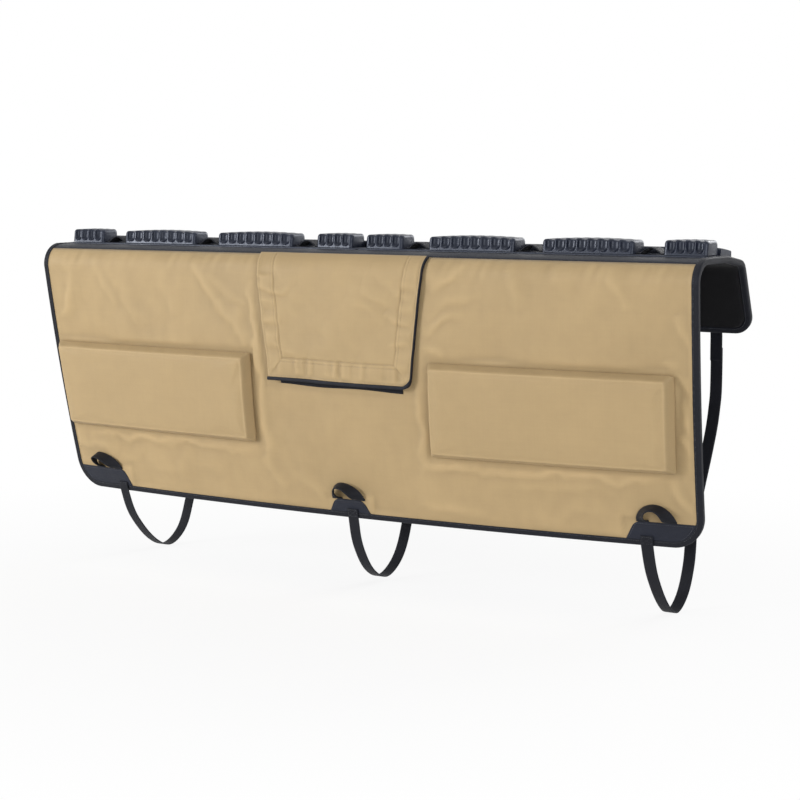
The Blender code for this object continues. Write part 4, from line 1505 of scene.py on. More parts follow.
@dataclass
class AccessFlap:
    """The flap over the opening: mitred border, two rows of stitches, edge tape and closing strip."""

    skin: PadSkin
    fitter: Fitter
    top_width: float = 0.408
    bottom_width: float = 0.356
    length: float = 0.2488
    thickness: float = 0.004
    corner: float = 0.022
    tape_start: float = 0.014
    tape_lip: float = 0.0028
    border: float = 0.042
    strip_width: float = 0.310
    strip_height: float = 0.034
    strip_showing: float = 0.013
    strip_thickness: float = 0.002
    tape_radius: float = 0.002
    columns: int = 211
    creases: tuple[Crease, ...] = creases_of(
        (-208, -98, -150, -104, 6, 2.2), (-204, -122, -120, -140, 7, 3.6),
        (-170, -70, -110, -128, 9, 2), (-198, -158, -152, -160, 6, 1.8),
        (-192, -200, -146, -206, 6, 1.6), (-190, -232, -80, -268, 10, 4),
        (20, -135, 130, -185, 13, 2), (60, -110, 150, -160, 10, 2.4),
        (85, -88, 170, -120, 9, 1.6), (-40, -215, 50, -268, 18, 1.8),
        (128, -120, 188, -126, 6, 1.8), (122, -172, 186, -190, 7, 2.8),
        (126, -228, 182, -236, 6, 1.6),
    )

    @property
    def end(self) -> float:
        """Arc length of the flap's lower edge."""
        return self.skin.seam - self.length

    def under(self, t: Array) -> Array:
        """Height of the flap's underside at t."""
        into = self.skin.seam - t
        tape = (self.skin.tape + 2 * GAP) * np.clip(into / self.tape_start, 0.0, 1.0)
        strip = self.strip_thickness * np.clip(into / (self.length - self.strip_height + self.strip_showing), 0.0, 1.0)
        return self.skin.on_panel + tape + strip

    def half(self, t: Array) -> Array:
        """Half the flap's width at t, without its rounded corner."""
        share = (self.skin.seam - t) / self.length
        return (self.top_width + (self.bottom_width - self.top_width) * share) / 2

    def sides(self, t: Array) -> tuple[Array, Array]:
        """Left and right edges at t."""
        into = np.clip(self.corner - (t - self.end), 0.0, self.corner)
        return -self.half(t), self.half(t) - (self.corner - np.sqrt(self.corner**2 - into**2))

    def hang(self, x: Array, t: Array) -> tuple[Array, Array]:
        """Where a place on the flap comes to lie as it hangs a little askew."""
        share = (self.skin.seam - t) / self.length
        lean = x / (self.top_width / 2)
        return x + (0.0028 + share * 0.0042) * (1 - lean), t + share * (0.003 - 0.0025 * lean)

    def billow(self, x: Array, t: Array) -> Array:
        """Height by which the whole flap stands off what is under it.

        Args:
            x: Places across.
            t: Arc lengths.

        Returns:
            Array shaped as x.
        """
        left, right = self.sides(t)
        reach = self.skin.seam - t
        waves = noise(x, t, 0.075, 54) * 0.0022 + noise(x + t * 0.8, t - x * 0.3, 0.035, 55) * 0.0012
        lower = 0.0022 * (1 + np.sin(x / (right - left) * 9.0 + 0.8)) * ramp(reach, self.length - 0.05, self.length)
        waves = (waves + 0.0022) * ramp(reach, 0.01, 0.07) * 0.8
        return np.maximum(waves + creased(self.creases, x, t, 0.010) + lower, 0.0)

    def face(self, x: Array, t: Array) -> Array:
        """Height of the flap's face, with its border, seams and puckers.

        Args:
            x: Places across.
            t: Arc lengths.

        Returns:
            Array shaped as x.
        """
        border, into = self.border, self.skin.seam - t
        left, right = self.sides(t)
        beside, low_edge = np.minimum(x - left, right - x), t - self.end
        depth = np.minimum(beside, low_edge)
        lift = 0.0005 * (1 - ramp(depth, border - 0.001, border + 0.001)) - 0.0016 * ridge(depth, border, 0.0018)
        lift = lift - 0.0006 * ridge(depth, border - 0.007, 0.0014) - 0.0006 * ridge(depth, 0.006, 0.0015)
        for edge in (x - left, right - x):
            lift = lift - 0.0009 * ridge(edge, low_edge, 0.0022) * (1 - ramp(depth, border, border + 0.002))
        at_bottom = (low_edge < beside) * ramp(low_edge, 0.004, 0.015) * (1 - ramp(low_edge, 0.036, 0.05))
        at_side = (1 - at_bottom) * (depth < border) * ramp(depth, 0.004, 0.012)
        lift = lift + at_bottom * 0.0022 * noise(x, np.full_like(x, 0.3), 0.011, 51)
        lift = lift + at_side * 0.0018 * noise(x * 0.2, t, 0.016, 52)
        lift = lift + noise(x, t, 0.06, 53) * 0.0009 * ramp(depth, border, border + 0.03) * ramp(into, 0.0, 0.04)
        lift = (lift - 0.0012 * (1 - ramp(depth, 0.0, 0.003))) * ramp(into, 0.0, 0.006)
        return self.under(t) + self.thickness + lift + self.billow(x, t)

    def stitch_line(self, depth: float) -> Array:
        """A row of stitches from the flap's upper left round to its upper right.

        Args:
            depth: Distance from the flap's edges.

        Returns:
            Rows of (x, t).
        """
        t = np.linspace(self.skin.seam - 0.002, self.end + depth, 40)
        reach = self.half(t) - depth
        across = np.linspace(-reach[-1], reach[-1], 30)[1:-1]
        x = np.concatenate([-reach, across, reach[::-1]])
        return np.stack([x, np.concatenate([t, np.full_like(across, t[-1]), t[::-1]])], 1)

    def build(self) -> None:
        """Builds the flap, its stitches, tape and strip."""
        skin = self.skin
        turn = self.end + self.corner * quarter(9)
        rows = np.concatenate([turn[:-1], stops((turn[-1], skin.seam - GAP), 0.0018)])
        shares = np.linspace(0, 1, self.columns)
        t = np.repeat(rows[:, None], len(shares), 1)
        left, right = self.sides(t)
        x = left + (right - left) * shares[None, :]
        under, face = self.under(t), self.face(x, t)
        # Painted shading of the flap: lighter on its ridges, darker in its hollows and seams.
        shade = relief(face - under, 26, 0.0009)
        low = under + self.billow(x, t)
        piece = closed_sheet("access_flap_cover", skin, *self.hang(x, t), low, face, None, shade)
        self.fitter.fit(piece, Cloths.SAND, "access_flap", "access_flap")
        thread = StitchRun(length=0.0036, pitch=0.005, breadth=0.0010, rise=0.0006)
        for depth in (0.006, self.border - 0.007, self.border):
            spots = self.stitch_line(depth)
            thread.sew(skin.place(*self.hang(*spots.T), self.face(*spots.T)), skin.outs(spots))
        self.fitter.fit(thread.build("flap_stitches"), Cloths.SAND_THREAD, "access_flap")
        self.build_tape()
        self.build_strip()

    def build_tape(self) -> None:
        """The narrow tape on the flap's lower and right edges."""
        skin = self.skin
        left, right = (float(side) for side in self.sides(np.array(self.end)))
        turn = self.end + self.corner * quarter(14)
        rows = np.concatenate([turn[:-1], stops((turn[-1], skin.seam - 0.001), 0.005)])
        lower = [(x, self.end) for x in np.linspace(left + GAP, right, 70)[:-1]]
        line = np.array([*lower, *zip(self.sides(rows)[1], rows)])
        lows = self.under(line[:, 1]) + self.billow(line[:, 0] - 0.001, line[:, 1])
        rings, places = [], []
        for (x, t), (ox, ot), reach, low in zip(line, outward(line, False), run_lengths(line), lows):
            high = low + self.thickness
            below = 1 - ramp(abs(ot), 0.3, 0.9)
            lip = self.tape_lip * (1.0 - 0.55 * below)
            wrap = GAP + skin.tape + 0.0026 * (1 - below)
            section = [(-lip, high + GAP), (-lip, high + wrap * 0.8), (-lip + 0.0006, high + wrap)]
            section += turned_edge(wrap, low, high, self.tape_radius, 30)
            section += [(-lip, low - wrap), (-lip, low - GAP), (GAP, low - GAP), (GAP, high + GAP)]
            d, n = np.array(section).T
            rings.append(skin.place(*self.hang(x + ox * d, t + ot * d), np.maximum(n, skin.laminate + 0.0002)))
            places.append(np.stack([d + n * 0.5, np.full_like(d, reach), n], 1))
        piece = swept("flap_tape", np.array(rings), False, np.array(places))
        self.fitter.fit(piece, Cloths.TAPE, "flap_binding", "flap_binding")

    def build_strip(self) -> None:
        """The closing strip that shows under the flap's lower edge."""
        skin = self.skin
        low = self.end - self.strip_showing
        rows = stops((low, low + self.strip_height), 0.0017)
        lines = stops((-self.strip_width / 2, self.strip_width / 2), 0.0030)
        t = np.repeat(rows[:, None], len(lines), 1)
        x = np.repeat(lines[None, :], len(rows), 0)
        edge = np.minimum(np.minimum(x - lines[0], lines[-1] - x), t - low)
        nap = np.abs(noise(x, t, 0.0035, 61)) * 0.0004 * ramp(edge, 0.001, 0.003)
        high = skin.on_panel + self.strip_thickness - 0.0005 - 0.0006 * (1 - ramp(edge, 0.0, 0.0025)) + nap
        wave = 0.0012 * np.sin(x * 31.0) * (1 - ramp(t - low, 0.0, 0.02))
        piece = closed_sheet("closing_strip", skin, *self.hang(x, t + wave), skin.on_panel, high)
        self.fitter.fit(piece, Cloths.HOOK, "flap_closure_strip", "flap_closure_strip")


SWELL_FRAMES = 20
SWELL = {
    "quality": 5,
    "mass": 0.3,
    "tension_stiffness": 12,
    "compression_stiffness": 12,
    "bending_stiffness": 0.4,
    "use_pressure": True,
    "uniform_pressure_force": 4.0,
    "vertex_group_mass": "sewn",
}


@dataclass
class RaisedPads:
    """The two raised foam pads, filled by a cloth simulation."""

    skin: PadSkin
    fitter: Fitter
    inner_x: float = 0.222
    widths: tuple[float, float] = (0.537, 0.508)
    height: float = 0.178
    above_edge: float = 0.149
    thickness: float = 0.024
    corner: float = 0.007
    profile: tuple[tuple[float, float], ...] = (
        (-0.0074, 0.0), (-0.0070, 0.10), (-0.0030, 0.42), (0.0010, 0.72), (0.0045, 0.93), (0.0065, 0.985), (0.011, 1.0)
    )
    lift: float = 0.0003
    voxel: float = 0.0042
    swell_cap: float = 0.0016
    face_inset: float = 0.0065

    def ends(self, side: int) -> tuple[float, float]:
        """Lowest and highest x of the pad on a side."""
        width = self.widths[0] if side < 0 else self.widths[1]
        low, high = sorted((side * self.inner_x, side * (self.inner_x + width)))
        return low, high

    def block(self, name: str, side: int) -> bpy.types.Object:
        """The foam's own shape, laid flat with x, t and n as its axes.

        Args:
            name: Name of the piece.
            side: -1 on the left and 1 on the right.

        Returns:
            The flat piece.
        """
        inner, outer = self.ends(side)
        low = self.skin.front_end + self.above_edge
        high = low + self.height
        base = self.skin.on_panel + self.lift + 0.0004
        rings = []
        for inset, share in self.profile:
            margin = inset + self.corner
            spots = ((outer - margin, high - margin), (inner + margin, high - margin))
            spots += ((inner + margin, low + margin), (outer - margin, low + margin))
            turns = [(spot, 90 * turn + 22.5 * k) for turn, spot in enumerate(spots) for k in range(5)]
            ring = [spot + self.corner * heading(turn) for spot, turn in turns]
            rings.append([(x, t, base + self.thickness * share) for x, t in ring])
        return swept(name, np.array(rings), False)

    def fill(self, piece: bpy.types.Object) -> None:
        """Lets the cover swell over the foam, and keeps the swelling small."""
        remesh = piece.modifiers.new("even", "REMESH")
        remesh.mode = "VOXEL"
        remesh.voxel_size = self.voxel
        flatten(piece)
        rest = coordinates(piece)
        base = float(rest[:, 2].min())
        pinned = piece.vertex_groups.new(name="sewn")
        pinned.add([int(k) for k in np.nonzero(rest[:, 2] < base + 0.0012)[0]], 1.0, "REPLACE")
        cloth = piece.modifiers.new("swell", "CLOTH")
        for name, value in SWELL.items():
            setattr(cloth.settings, name, value)
        cloth.settings.effector_weights.gravity = 0.0
        cloth.collision_settings.use_collision = False
        scene = bpy.context.scene
        cloth.point_cache.frame_start, cloth.point_cache.frame_end = 1, SWELL_FRAMES
        for frame in range(1, SWELL_FRAMES + 1):
            scene.frame_set(frame)
        flatten(piece)
        scene.frame_set(1)
        moved = coordinates(piece)
        size = np.linalg.norm(moved - rest, axis=1)
        cap = np.minimum(1.0, self.swell_cap / np.maximum(size, 1e-9))
        write_coordinates(piece, rest + (moved - rest) * cap[:, None])
        smooth = piece.modifiers.new("fine", "SUBSURF")
        smooth.levels = smooth.render_levels = 1
        flatten(piece)

    def finish(self, piece: bpy.types.Object, side: int) -> None:
        """Adds seams and slack, lays the flat piece on the pad, and paints shade on its walls and foot and a highlight
        on its rim.

        Args:
            piece: The flat piece.
            side: -1 on the left and 1 on the right.
        """
        x, t, n = coordinates(piece).T
        base, rim = self.skin.on_panel + self.lift, self.face_inset
        inner, outer = self.ends(side)
        low = self.skin.front_end + self.above_edge
        high = low + self.height
        edge = np.minimum(np.minimum(x - inner, outer - x), np.minimum(t - low, high - t)) - rim
        on_face = ramp((n - base) / self.thickness, 0.75, 0.95)
        slack = noise(x, t, 0.09, 71 + side) * 0.0010 + noise(x, t, 0.03, 74 + side) * 0.0004
        seams = 0.0013 * ridge(edge, 0.0008, 0.0018) - 0.0003 * ridge(edge, 0.0060, 0.0022)
        walls = (1 - on_face) * ramp(n - base, 0.002, 0.006)
        n = n + (slack * ramp(edge + rim, 0.012, 0.04) + seams) * on_face
        n = n + walls * 0.0012 * noise(x + t, (x - t) * 0.2, 0.02, 77 + side)
        n = np.clip(n, base, base + self.thickness + 0.0025)
        write_coordinates(piece, self.skin.place(x, t, n))
        store(piece, PLACE, np.stack([x, t, n], 1))
        # Painted shade on the top and right walls, which face away from the key light, and at the foot.
        shaded = np.maximum(ramp(t - (high - rim), -0.004, 0.002), ramp(x - (outer - rim), -0.004, 0.002))
        dark = np.maximum((1 - on_face) * shaded * 0.75, 1 - ramp(n - base, 0.0, 0.009))
        # Painted highlight along the face's rim crease, painted shade from above subtracted.
        store(piece, PAINTED_SHADE, np.clip(0.9 * ridge(edge, 0.0010, 0.0020) * on_face - dark, -1.0, 1.0))
        piece.data.shade_smooth()

    def build(self) -> None:
        """Builds both pads."""
        for label, side in (("left", -1), ("right", 1)):
            piece = self.block("raised_pad_cover_" + label, side)
            self.fill(piece)
            self.finish(piece, side)
            node = "raised_pad_" + label
            self.fitter.fit(piece, Cloths.SAND_PAD, node, node)


def flatten(piece: bpy.types.Object) -> None:
    """Applies every modifier of a piece."""
    depsgraph = bpy.context.evaluated_depsgraph_get()
    depsgraph.update()
    mesh = bpy.data.meshes.new_from_object(piece.evaluated_get(depsgraph))
    piece.modifiers.clear()
    piece.data = mesh


def coordinates(piece: bpy.types.Object) -> Array:
    """A mesh's points as rows of X, Y, Z."""
    values = np.empty(len(piece.data.vertices) * 3, np.float32)
    piece.data.vertices.foreach_get("co", values)
    return values.reshape(-1, 3).astype(float)


def write_coordinates(piece: bpy.types.Object, points: Array) -> None:
    """Moves a mesh's points."""
    piece.data.vertices.foreach_set("co", np.ascontiguousarray(points, np.float32).ravel())
    piece.data.update()


@dataclass
class Patches:
    """The dark reinforcements at the front's bottom edge, and their stitches."""

    skin: PadSkin
    fitter: Fitter
    thickness: float = 0.0012
    inset: float = 0.01115
    widths: tuple[float, float] = (0.1675, 0.154)
    slant: float = 0.019
    height: float = 0.047
    middle_bottom: float = 0.100
    middle_top: float = 0.070
    middle_height: float = 0.038
    shift: float = 0.004
    rounding: float = 0.011
    seam: float = 0.004

    def drawn_in(self, t: Array, top: float) -> Array:
        """How far a side draws in towards its rounded upper corner."""
        over = np.clip((t - (top - self.rounding)) / self.rounding, 0.0, 1.0)
        return self.rounding * (1 - np.sqrt(1 - over**2))

    def upper_rows(self, rows: Array, top: float) -> Array:
        """Arc lengths of a patch, closer together at its rounded corner."""
        bend = top - self.rounding * (1 - np.sin(np.linspace(0, math.pi / 2, 8)))
        return np.append(rows[rows < bend[0] - 0.0008], bend)

    def sheet(self, name: str, node: str, sides: Callable[[Array], tuple[Array, Array]], rows: Array) -> None:
        """One patch.

        Args:
            name: Name of the piece.
            node: The node that it stands for.
            sides: Its left and right edges at an arc length.
            rows: Its arc lengths.
        """
        skin, seam = self.skin, self.seam
        shares = np.linspace(0, 1, 61)
        t = np.repeat(rows[:, None], len(shares), 1)
        left, right = sides(t)
        x = left + (right - left) * shares[None, :]
        edge = np.minimum(np.minimum(x - left, right - x), np.minimum(t - rows[0], rows[-1] - t))
        slack = noise(x, t, 0.02, 81) * 0.0004 * ramp(edge, 0.005, 0.012) - 0.0005 * ridge(edge, seam, 0.0012)
        high = skin.on_panel + self.thickness + slack - 0.0006 * (1 - ramp(edge, 0.0, 0.002))
        piece = closed_sheet(name, skin, x, t, skin.on_panel, high)
        self.fitter.fit(piece, Cloths.PATCH, node, node)
        thread = StitchRun(length=0.003, pitch=0.0042, breadth=0.0008, rise=0.0004)
        ts = np.linspace(rows[0] + seam, rows[-1] - seam, 12)
        left, right = sides(ts)
        left, right = left + seam, right - seam
        spots = [*zip(left, ts), *((x, ts[-1]) for x in np.linspace(left[-1], right[-1], 16)[1:-1])]
        spots += [*zip(right[::-1], ts[::-1])]
        thread.sew_flat(skin, spots, skin.on_panel + self.thickness - 0.0004)
        self.fitter.fit(thread.build(name + "_stitches"), Cloths.NAVY_THREAD, node)

    def corner_sides(self, side: int, t: Array) -> tuple[Array, Array]:
        """Left and right edges of a corner patch.

        Args:
            side: -1 on the left and 1 on the right.
            t: Arc lengths.

        Returns:
            Two arrays shaped as t.
        """
        low, top = self.skin.front_end + self.inset, self.skin.front_end + self.height
        start = self.skin.width / 2 - self.widths[max(side, 0)]
        inner = start + self.slant * (t - low) / (top - low) + self.drawn_in(t, top)
        outer = self.skin.half_width(t, self.inset)
        return (inner, outer) if side > 0 else (-outer, -inner)

    def middle_sides(self, t: Array) -> tuple[Array, Array]:
        """Left and right edges of the middle patch.

        Args:
            t: Arc lengths.

        Returns:
            Two arrays shaped as t.
        """
        low, top = self.skin.front_end + self.inset, self.skin.front_end + self.middle_height
        share = (t - low) / (top - low)
        half = (self.middle_bottom + (self.middle_top - self.middle_bottom) * share) / 2 - self.drawn_in(t, top)
        return self.shift - half, self.shift + half

    def build(self) -> None:
        """Builds the three patches."""
        low = self.skin.front_end + self.inset
        top, middle_top = self.skin.front_end + self.height, self.skin.front_end + self.middle_height
        rows = self.upper_rows(low + (self.skin.corner - self.inset) * quarter(13), top)
        for label, side in (("right", 1), ("left", -1)):
            node = "corner_patch_" + label
            self.sheet(node + "_cover", node, partial(self.corner_sides, side), rows)
        rows = self.upper_rows(stops((low, middle_top), 0.0022), middle_top)
        self.sheet("middle_patch_cover", "middle_patch", self.middle_sides, rows)


# Webbing


@dataclass
class Webbing:
    """Pull loops, the straps that go under the tailgate, and their tabs."""

    skin: PadSkin
    fitter: Fitter
    width: float = 0.025
    thickness: float = 0.0022
    spread: float = 0.056
    loop_height: float = 0.034
    foot: float = 0.003
    clearance: float = 0.004
    loop_lift: float = 0.0004
    twist: float = math.radians(80)
    sewn: float = 0.019
    tab_sewn: float = 0.045
    tab_hanging: float = 0.050
    bows: tuple[tuple[tuple[float, float], ...], ...] = (
        ((0.11, 0.40), (0.35, 0.82), (0.60, 1.0), (0.83, 0.80), (0.96, 0.38)),
        ((0.07, 0.40), (0.26, 0.82), (0.52, 1.0), (0.79, 0.80), (0.96, 0.38)),
        ((0.11, 0.40), (0.34, 0.82), (0.57, 1.0), (0.81, 0.80), (0.96, 0.38)),
    )

    @property
    def on_trim(self) -> float:
        """Height at which webbing lies on the tape and the patches."""
        return self.skin.on_panel + self.skin.tape + GAP

    def pull_loop(self, label: str, x: float, foot: float, skew: float) -> None:
        """One loop on top of a patch.

        Args:
            label: Which loop.
            x: Its middle.
            foot: Arc length of its feet.
            skew: How far its crown leans over.
        """
        skin = self.skin
        flat = skin.on_panel + self.thickness / 2 + self.loop_lift
        knee = foot + self.foot
        path, sides = [], []
        steps = 48
        for k in range(steps + 1):
            angle = math.pi * k / steps
            twist = self.twist * abs(math.sin(angle)) ** 0.65
            reach = x - self.spread / 2 * math.cos(angle) + skew * math.sin(angle) ** 2
            t = knee + (self.loop_height - self.foot) * math.sin(angle)
            path.append(skin.point(reach, t, flat + (self.width / 2 + self.clearance) * math.sin(twist)))
            across, along, out = skin.directions(reach, t)
            run = across * math.sin(angle) + along * math.cos(angle)
            sides.append(run.cross(out).normalized() * math.cos(twist) + out * math.sin(twist))
        path = [skin.point(x - self.spread / 2, foot, flat), *path, skin.point(x + self.spread / 2, foot, flat)]
        sides = [sides[0], *sides, sides[-1]]
        node = "pull_loop_" + label
        piece = ribbon(node + "_webbing", path, sides, self.width, self.thickness)
        self.fitter.fit(piece, Cloths.WEBBING, node, node)

    def strap(
        self, label: str, x: float, reach: float, drift: float, tab_x: float, hang: float, bow: Section
    ) -> None:
        """One hanging strap and the tab that it joins.

        Args:
            label: Which strap.
            x: Where it is sewn to the front.
            reach: How far back its rear run lies.
            drift: How far across its rear run lies from its front.
            tab_x: Where its tab is sewn to the back flap.
            hang: How far it hangs down.
            bow: Places along the loop as shares of its reach and of its hang.
        """
        skin = self.skin
        across = Vector((1, 0, 0))
        flat = self.on_trim + self.thickness / 2
        edge = skin.point(tab_x, skin.back_end + skin.lip, flat)
        end = edge + Vector((0, 0, -self.tab_hanging))
        marks = [skin.point(tab_x, skin.back_end - self.tab_sewn, flat), skin.point(tab_x, skin.back_end, flat)]
        marks += [edge, edge.lerp(end, 0.5), end]
        tab = smooth_path(marks, 12)
        coarse = smooth_path(marks, 3)
        node = "strap_tab_" + label
        piece = ribbon(node + "_webbing", tab, [across] * len(tab), self.width, self.thickness)
        self.fitter.fit(piece, Cloths.WEBBING, node, node)
        behind = Vector((0, self.thickness + GAP, 0))
        joined = [point + behind for point in reversed(coarse[-4:])]
        hem = skin.point(x, skin.front_end - GAP - skin.tape, flat)
        rear = Vector((x + drift, hem.y + reach, hem.z))
        rise = joined[0].z - rear.z
        loop = [
            skin.point(x, skin.front_end + self.sewn, flat),
            hem,
            *(hem.lerp(rear, share) - Vector((0, 0, hang * fall)) for share, fall in bow),
            rear + Vector((0, reach * 0.06, rise * 0.10)),
            rear.lerp(joined[0], 0.6) + Vector((0, reach * 0.14, 0)),
            joined[0] + behind * 2 - Vector((0, 0, self.width)),
        ]
        path = smooth_path([*smooth_path(loop, 3)[:-1], *joined], 4)
        sewn_side = skin.directions(x, skin.front_end)[0]
        sides = [sewn_side.lerp(across, min(1.0, max(0.0, (k / 4 - 3) / 6))) for k in range(len(path))]
        node = "tailgate_strap_" + label
        piece = ribbon(node + "_webbing", path, sides, self.width, self.thickness)
        self.fitter.fit(piece, Cloths.WEBBING, node, node)
        self.sewn_box(node + "_stitches", node, x, skin.front_end + 0.0035, skin.front_end + self.sewn - 0.002)

    def sewn_box(self, name: str, node: str, x: float, low: float, high: float) -> None:
        """Stitches in a crossed box on the end of a strap.

        Args:
            name: Name of the piece.
            node: Slot of the strap.
            x: The strap's middle.
            low: Lower end of the box.
            high: Upper end of the box.
        """
        half = self.width / 2 - 0.003
        level = self.on_trim + self.thickness
        corners = [(x - half, low), (x + half, low), (x + half, high), (x - half, high)]
        rows = [*zip(corners, corners[1:] + corners[:1]), (corners[0], corners[2]), (corners[1], corners[3])]
        thread = StitchRun(length=0.0028, pitch=0.0036, breadth=0.0008, rise=0.0005)
        for start, end in rows:
            thread.sew_flat(self.skin, np.linspace(start, end, 7), level)
        self.fitter.fit(thread.build(name), Cloths.NAVY_THREAD, node)

    def build(self) -> None:
        """Builds the loops, straps and tabs."""
        corner_foot = self.skin.front_end + 0.047 + GAP
        self.pull_loop("left", -0.676, corner_foot, -0.018)
        self.pull_loop("middle", 0.004, self.skin.front_end + 0.038 + GAP, -0.008)
        self.pull_loop("right", 0.690, corner_foot, 0.0)
        self.strap("left", -0.639, 0.215, 0.031, -0.700, 0.139, self.bows[0])
        self.strap("middle", 0.011, 0.185, 0.010, -0.008, 0.134, self.bows[1])
        self.strap("right", 0.669, 0.165, -0.005, 0.700, 0.142, self.bows[2])


# The moulded row


@dataclass
class BlockRow:
    """Fluted blocks, the rails under them and the straps across the slots."""

    skin: PadSkin
    fitter: Fitter
    long: float = 0.197
    short: float = 0.091
    slot: float = 0.058
    centre_gap: float = 0.030
    depth: float = 0.052
    height: float = 0.028
    draft: float = 0.004
    corner: float = 0.006
    front_y: float = -0.011
    flute_pitch: float = 0.0215
    flute_margin: float = 0.0075
    flute_share: float = 0.85
    flute_depth: float = 0.008
    foot: float = 0.003
    rail_thickness: float = 0.003
    top_edge: float = 0.0055
    lobe_depth: float = 0.0022
    crown: float = 0.0032
    bar_depth: float = 0.046
    bar_height: float = 0.016
    rail_pitch: float = 0.006
    rail_ends: tuple[float, float] = (0.0012, 0.0004)
    strap_width: float = 0.032
    strap_thickness: float = 0.0025
    arch: float = 0.011

    @property
    def on_rail(self) -> float:
        """Height at which the blocks stand."""
        return self.skin.on_panel + self.rail_thickness + GAP

    def spans(self) -> list[tuple[float, float]]:
        """Left edge and width of each block, from left to right."""
        right = []
        x = self.centre_gap / 2
        for width in (self.short, self.long, self.long, self.short):
            right.append((x, width))
            x += width + self.slot
        return [(-start - width, width) for start, width in reversed(right)] + right

    def section(self, x: float, left: float, width: float) -> list[tuple[float, float, float]]:
        """A block's closed outline in the plane across it at x.

        Args:
            x: Place of the plane.
            left: The block's left edge.
            width: Its width.

        Returns:
            Points from the front's foot over the top to the back's foot.
        """
        margin = self.flute_margin - self.draft * 0.4
        flutes = round((width - 2 * margin) / self.flute_pitch)
        pitch = (width - 2 * margin) / flutes
        first = left + margin + pitch / 2
        nearest = first + pitch * min(flutes - 1, max(0, round((x - first) / pitch)))
        aside = (x - nearest) / (pitch * self.flute_share / 2)
        from_end = min(x - left, left + width - x)
        corner = self.corner - math.sqrt(max(0.0, self.corner**2 - max(0.0, self.corner - from_end) ** 2))
        crown = self.crown * (width / self.long) * (2 * (x - left - width / 2) / width) ** 2
        base, top = self.on_rail, self.on_rail + self.height - crown - corner * 0.9
        ball = base + self.foot + self.flute_depth
        lobe = self.lobe_depth * (0.5 + 0.5 * math.cos(math.pi * min(1.0, abs(aside))))
        points = []
        face = top - self.top_edge
        levels = [base, base + self.foot * 0.6, base + self.foot]
        levels += [base + self.foot + self.flute_depth * share for share in (0.06, 0.15, 0.28, 0.45, 0.7, 1.0)]
        levels += [ball + (face - ball) * share for share in (0.35, 0.7, 1.0)]
        for z in levels:
            down = max(0.0, (ball - z) / self.flute_depth)
            cut = self.flute_depth * math.sqrt(max(0.0, 1 - aside * aside - down * down))
            points.append((x, self.front_y + corner + self.draft * (z - base) / self.height + cut, z))
        front = points[-1][1]
        back = self.front_y + self.depth - corner - self.draft * 0.4
        for angle in (18, 36, 54, 72, 90):
            turn = math.radians(angle)
            y = front + self.top_edge * (1 - math.cos(turn))
            points.append((x, y, face + (self.top_edge - lobe) * math.sin(turn)))
        start, stop = points[-1][1], back - self.top_edge
        for share in (0.12, 0.25, 0.4, 0.55, 0.7, 0.85, 1.0):
            fade = (1 - share) ** 1.3 * 0.8 + 0.2
            points.append((x, start + (stop - start) * share, top - lobe * fade))
        low = points[-1][2] - self.top_edge
        for angle in (22, 45, 67, 90):
            turn = math.radians(angle)
            points.append((x, stop + self.top_edge * math.sin(turn), low + self.top_edge * math.cos(turn)))
        points.append((x, back + self.draft * 0.2, (low + base) / 2))
        points.append((x, back + self.draft * 0.4, base))
        return points

    def block(self, number: int, left: float, width: float) -> None:
        """One block with round-bottomed flutes, knuckled top and soft edges.

        Args:
            number: Which block.
            left: Its left edge.
            width: Its width at the foot.
        """
        inset = self.draft * 0.4
        left, width = left + inset, width - 2 * inset
        ends = (self.corner * quarter(7))[:-1]
        middle = stops((left + self.corner, left + width - self.corner), 0.0012)
        places = [*(left + ends), *middle, *(left + width - ends[::-1])]
        node = "block_%d" % number
        piece = swept(node + "_moulding", np.array([self.section(x, left, width) for x in places]), False)
        piece.data.set_sharp_from_angle(angle=math.radians(58))
        self.fitter.fit(piece, Cloths.BLOCK, node, node)

    def rail(self, label: str, side: int) -> None:
        """One rail with its low bar behind the blocks.

        Args:
            label: Which rail.
            side: -1 on the left and 1 on the right.
        """
        skin, pitch = self.skin, self.rail_pitch
        front = self.front_y - 0.006
        behind = self.front_y + self.depth + GAP
        back = behind + self.bar_depth
        low = skin.on_panel
        thin, bar = low + self.rail_thickness, low + self.bar_height
        section = [(t, low) for t in stops((front, back), pitch)]
        section += [(back, thin - 0.001), (back - 0.0006, thin + 0.004), (back - 0.0016, bar - 0.0028)]
        section += [(back - 0.0026, bar - 0.0008), (back - 0.0046, bar)]
        section += [(t, bar) for t in stops((behind + 0.0046, back - 0.0046), pitch)[::-1][1:]]
        section += [(behind + 0.0026, bar - 0.0008), (behind + 0.0012, bar - 0.003), (behind + 0.0004, thin + 0.004)]
        section += [(behind, thin), *((t, thin) for t in stops((front + 0.0022, behind), pitch)[::-1][1:])]
        section += [(front + 0.0008, thin - 0.0006), (front, thin - 0.0018)]
        t, n = np.array(section).T
        half_row = self.spans()[-1][0] + self.short
        x = stops((0.002, half_row + 0.002), pitch)[:, None]
        squeeze = np.zeros_like(x)
        squeeze[[0, -1]], squeeze[[1, -2]] = self.rail_ends
        across, along = np.broadcast_arrays(x, t)
        lift = noise(across, along, 0.05, 91) * 0.00025 * (n > thin + 0.001)
        rings = skin.place(side * x, t, n + lift - squeeze * (n > low))
        node = "block_rail_" + label
        piece = swept(node + "_moulding", rings, False)
        piece.data.set_sharp_from_angle(angle=math.radians(55))
        self.fitter.fit(piece, Cloths.RAIL, node, node)

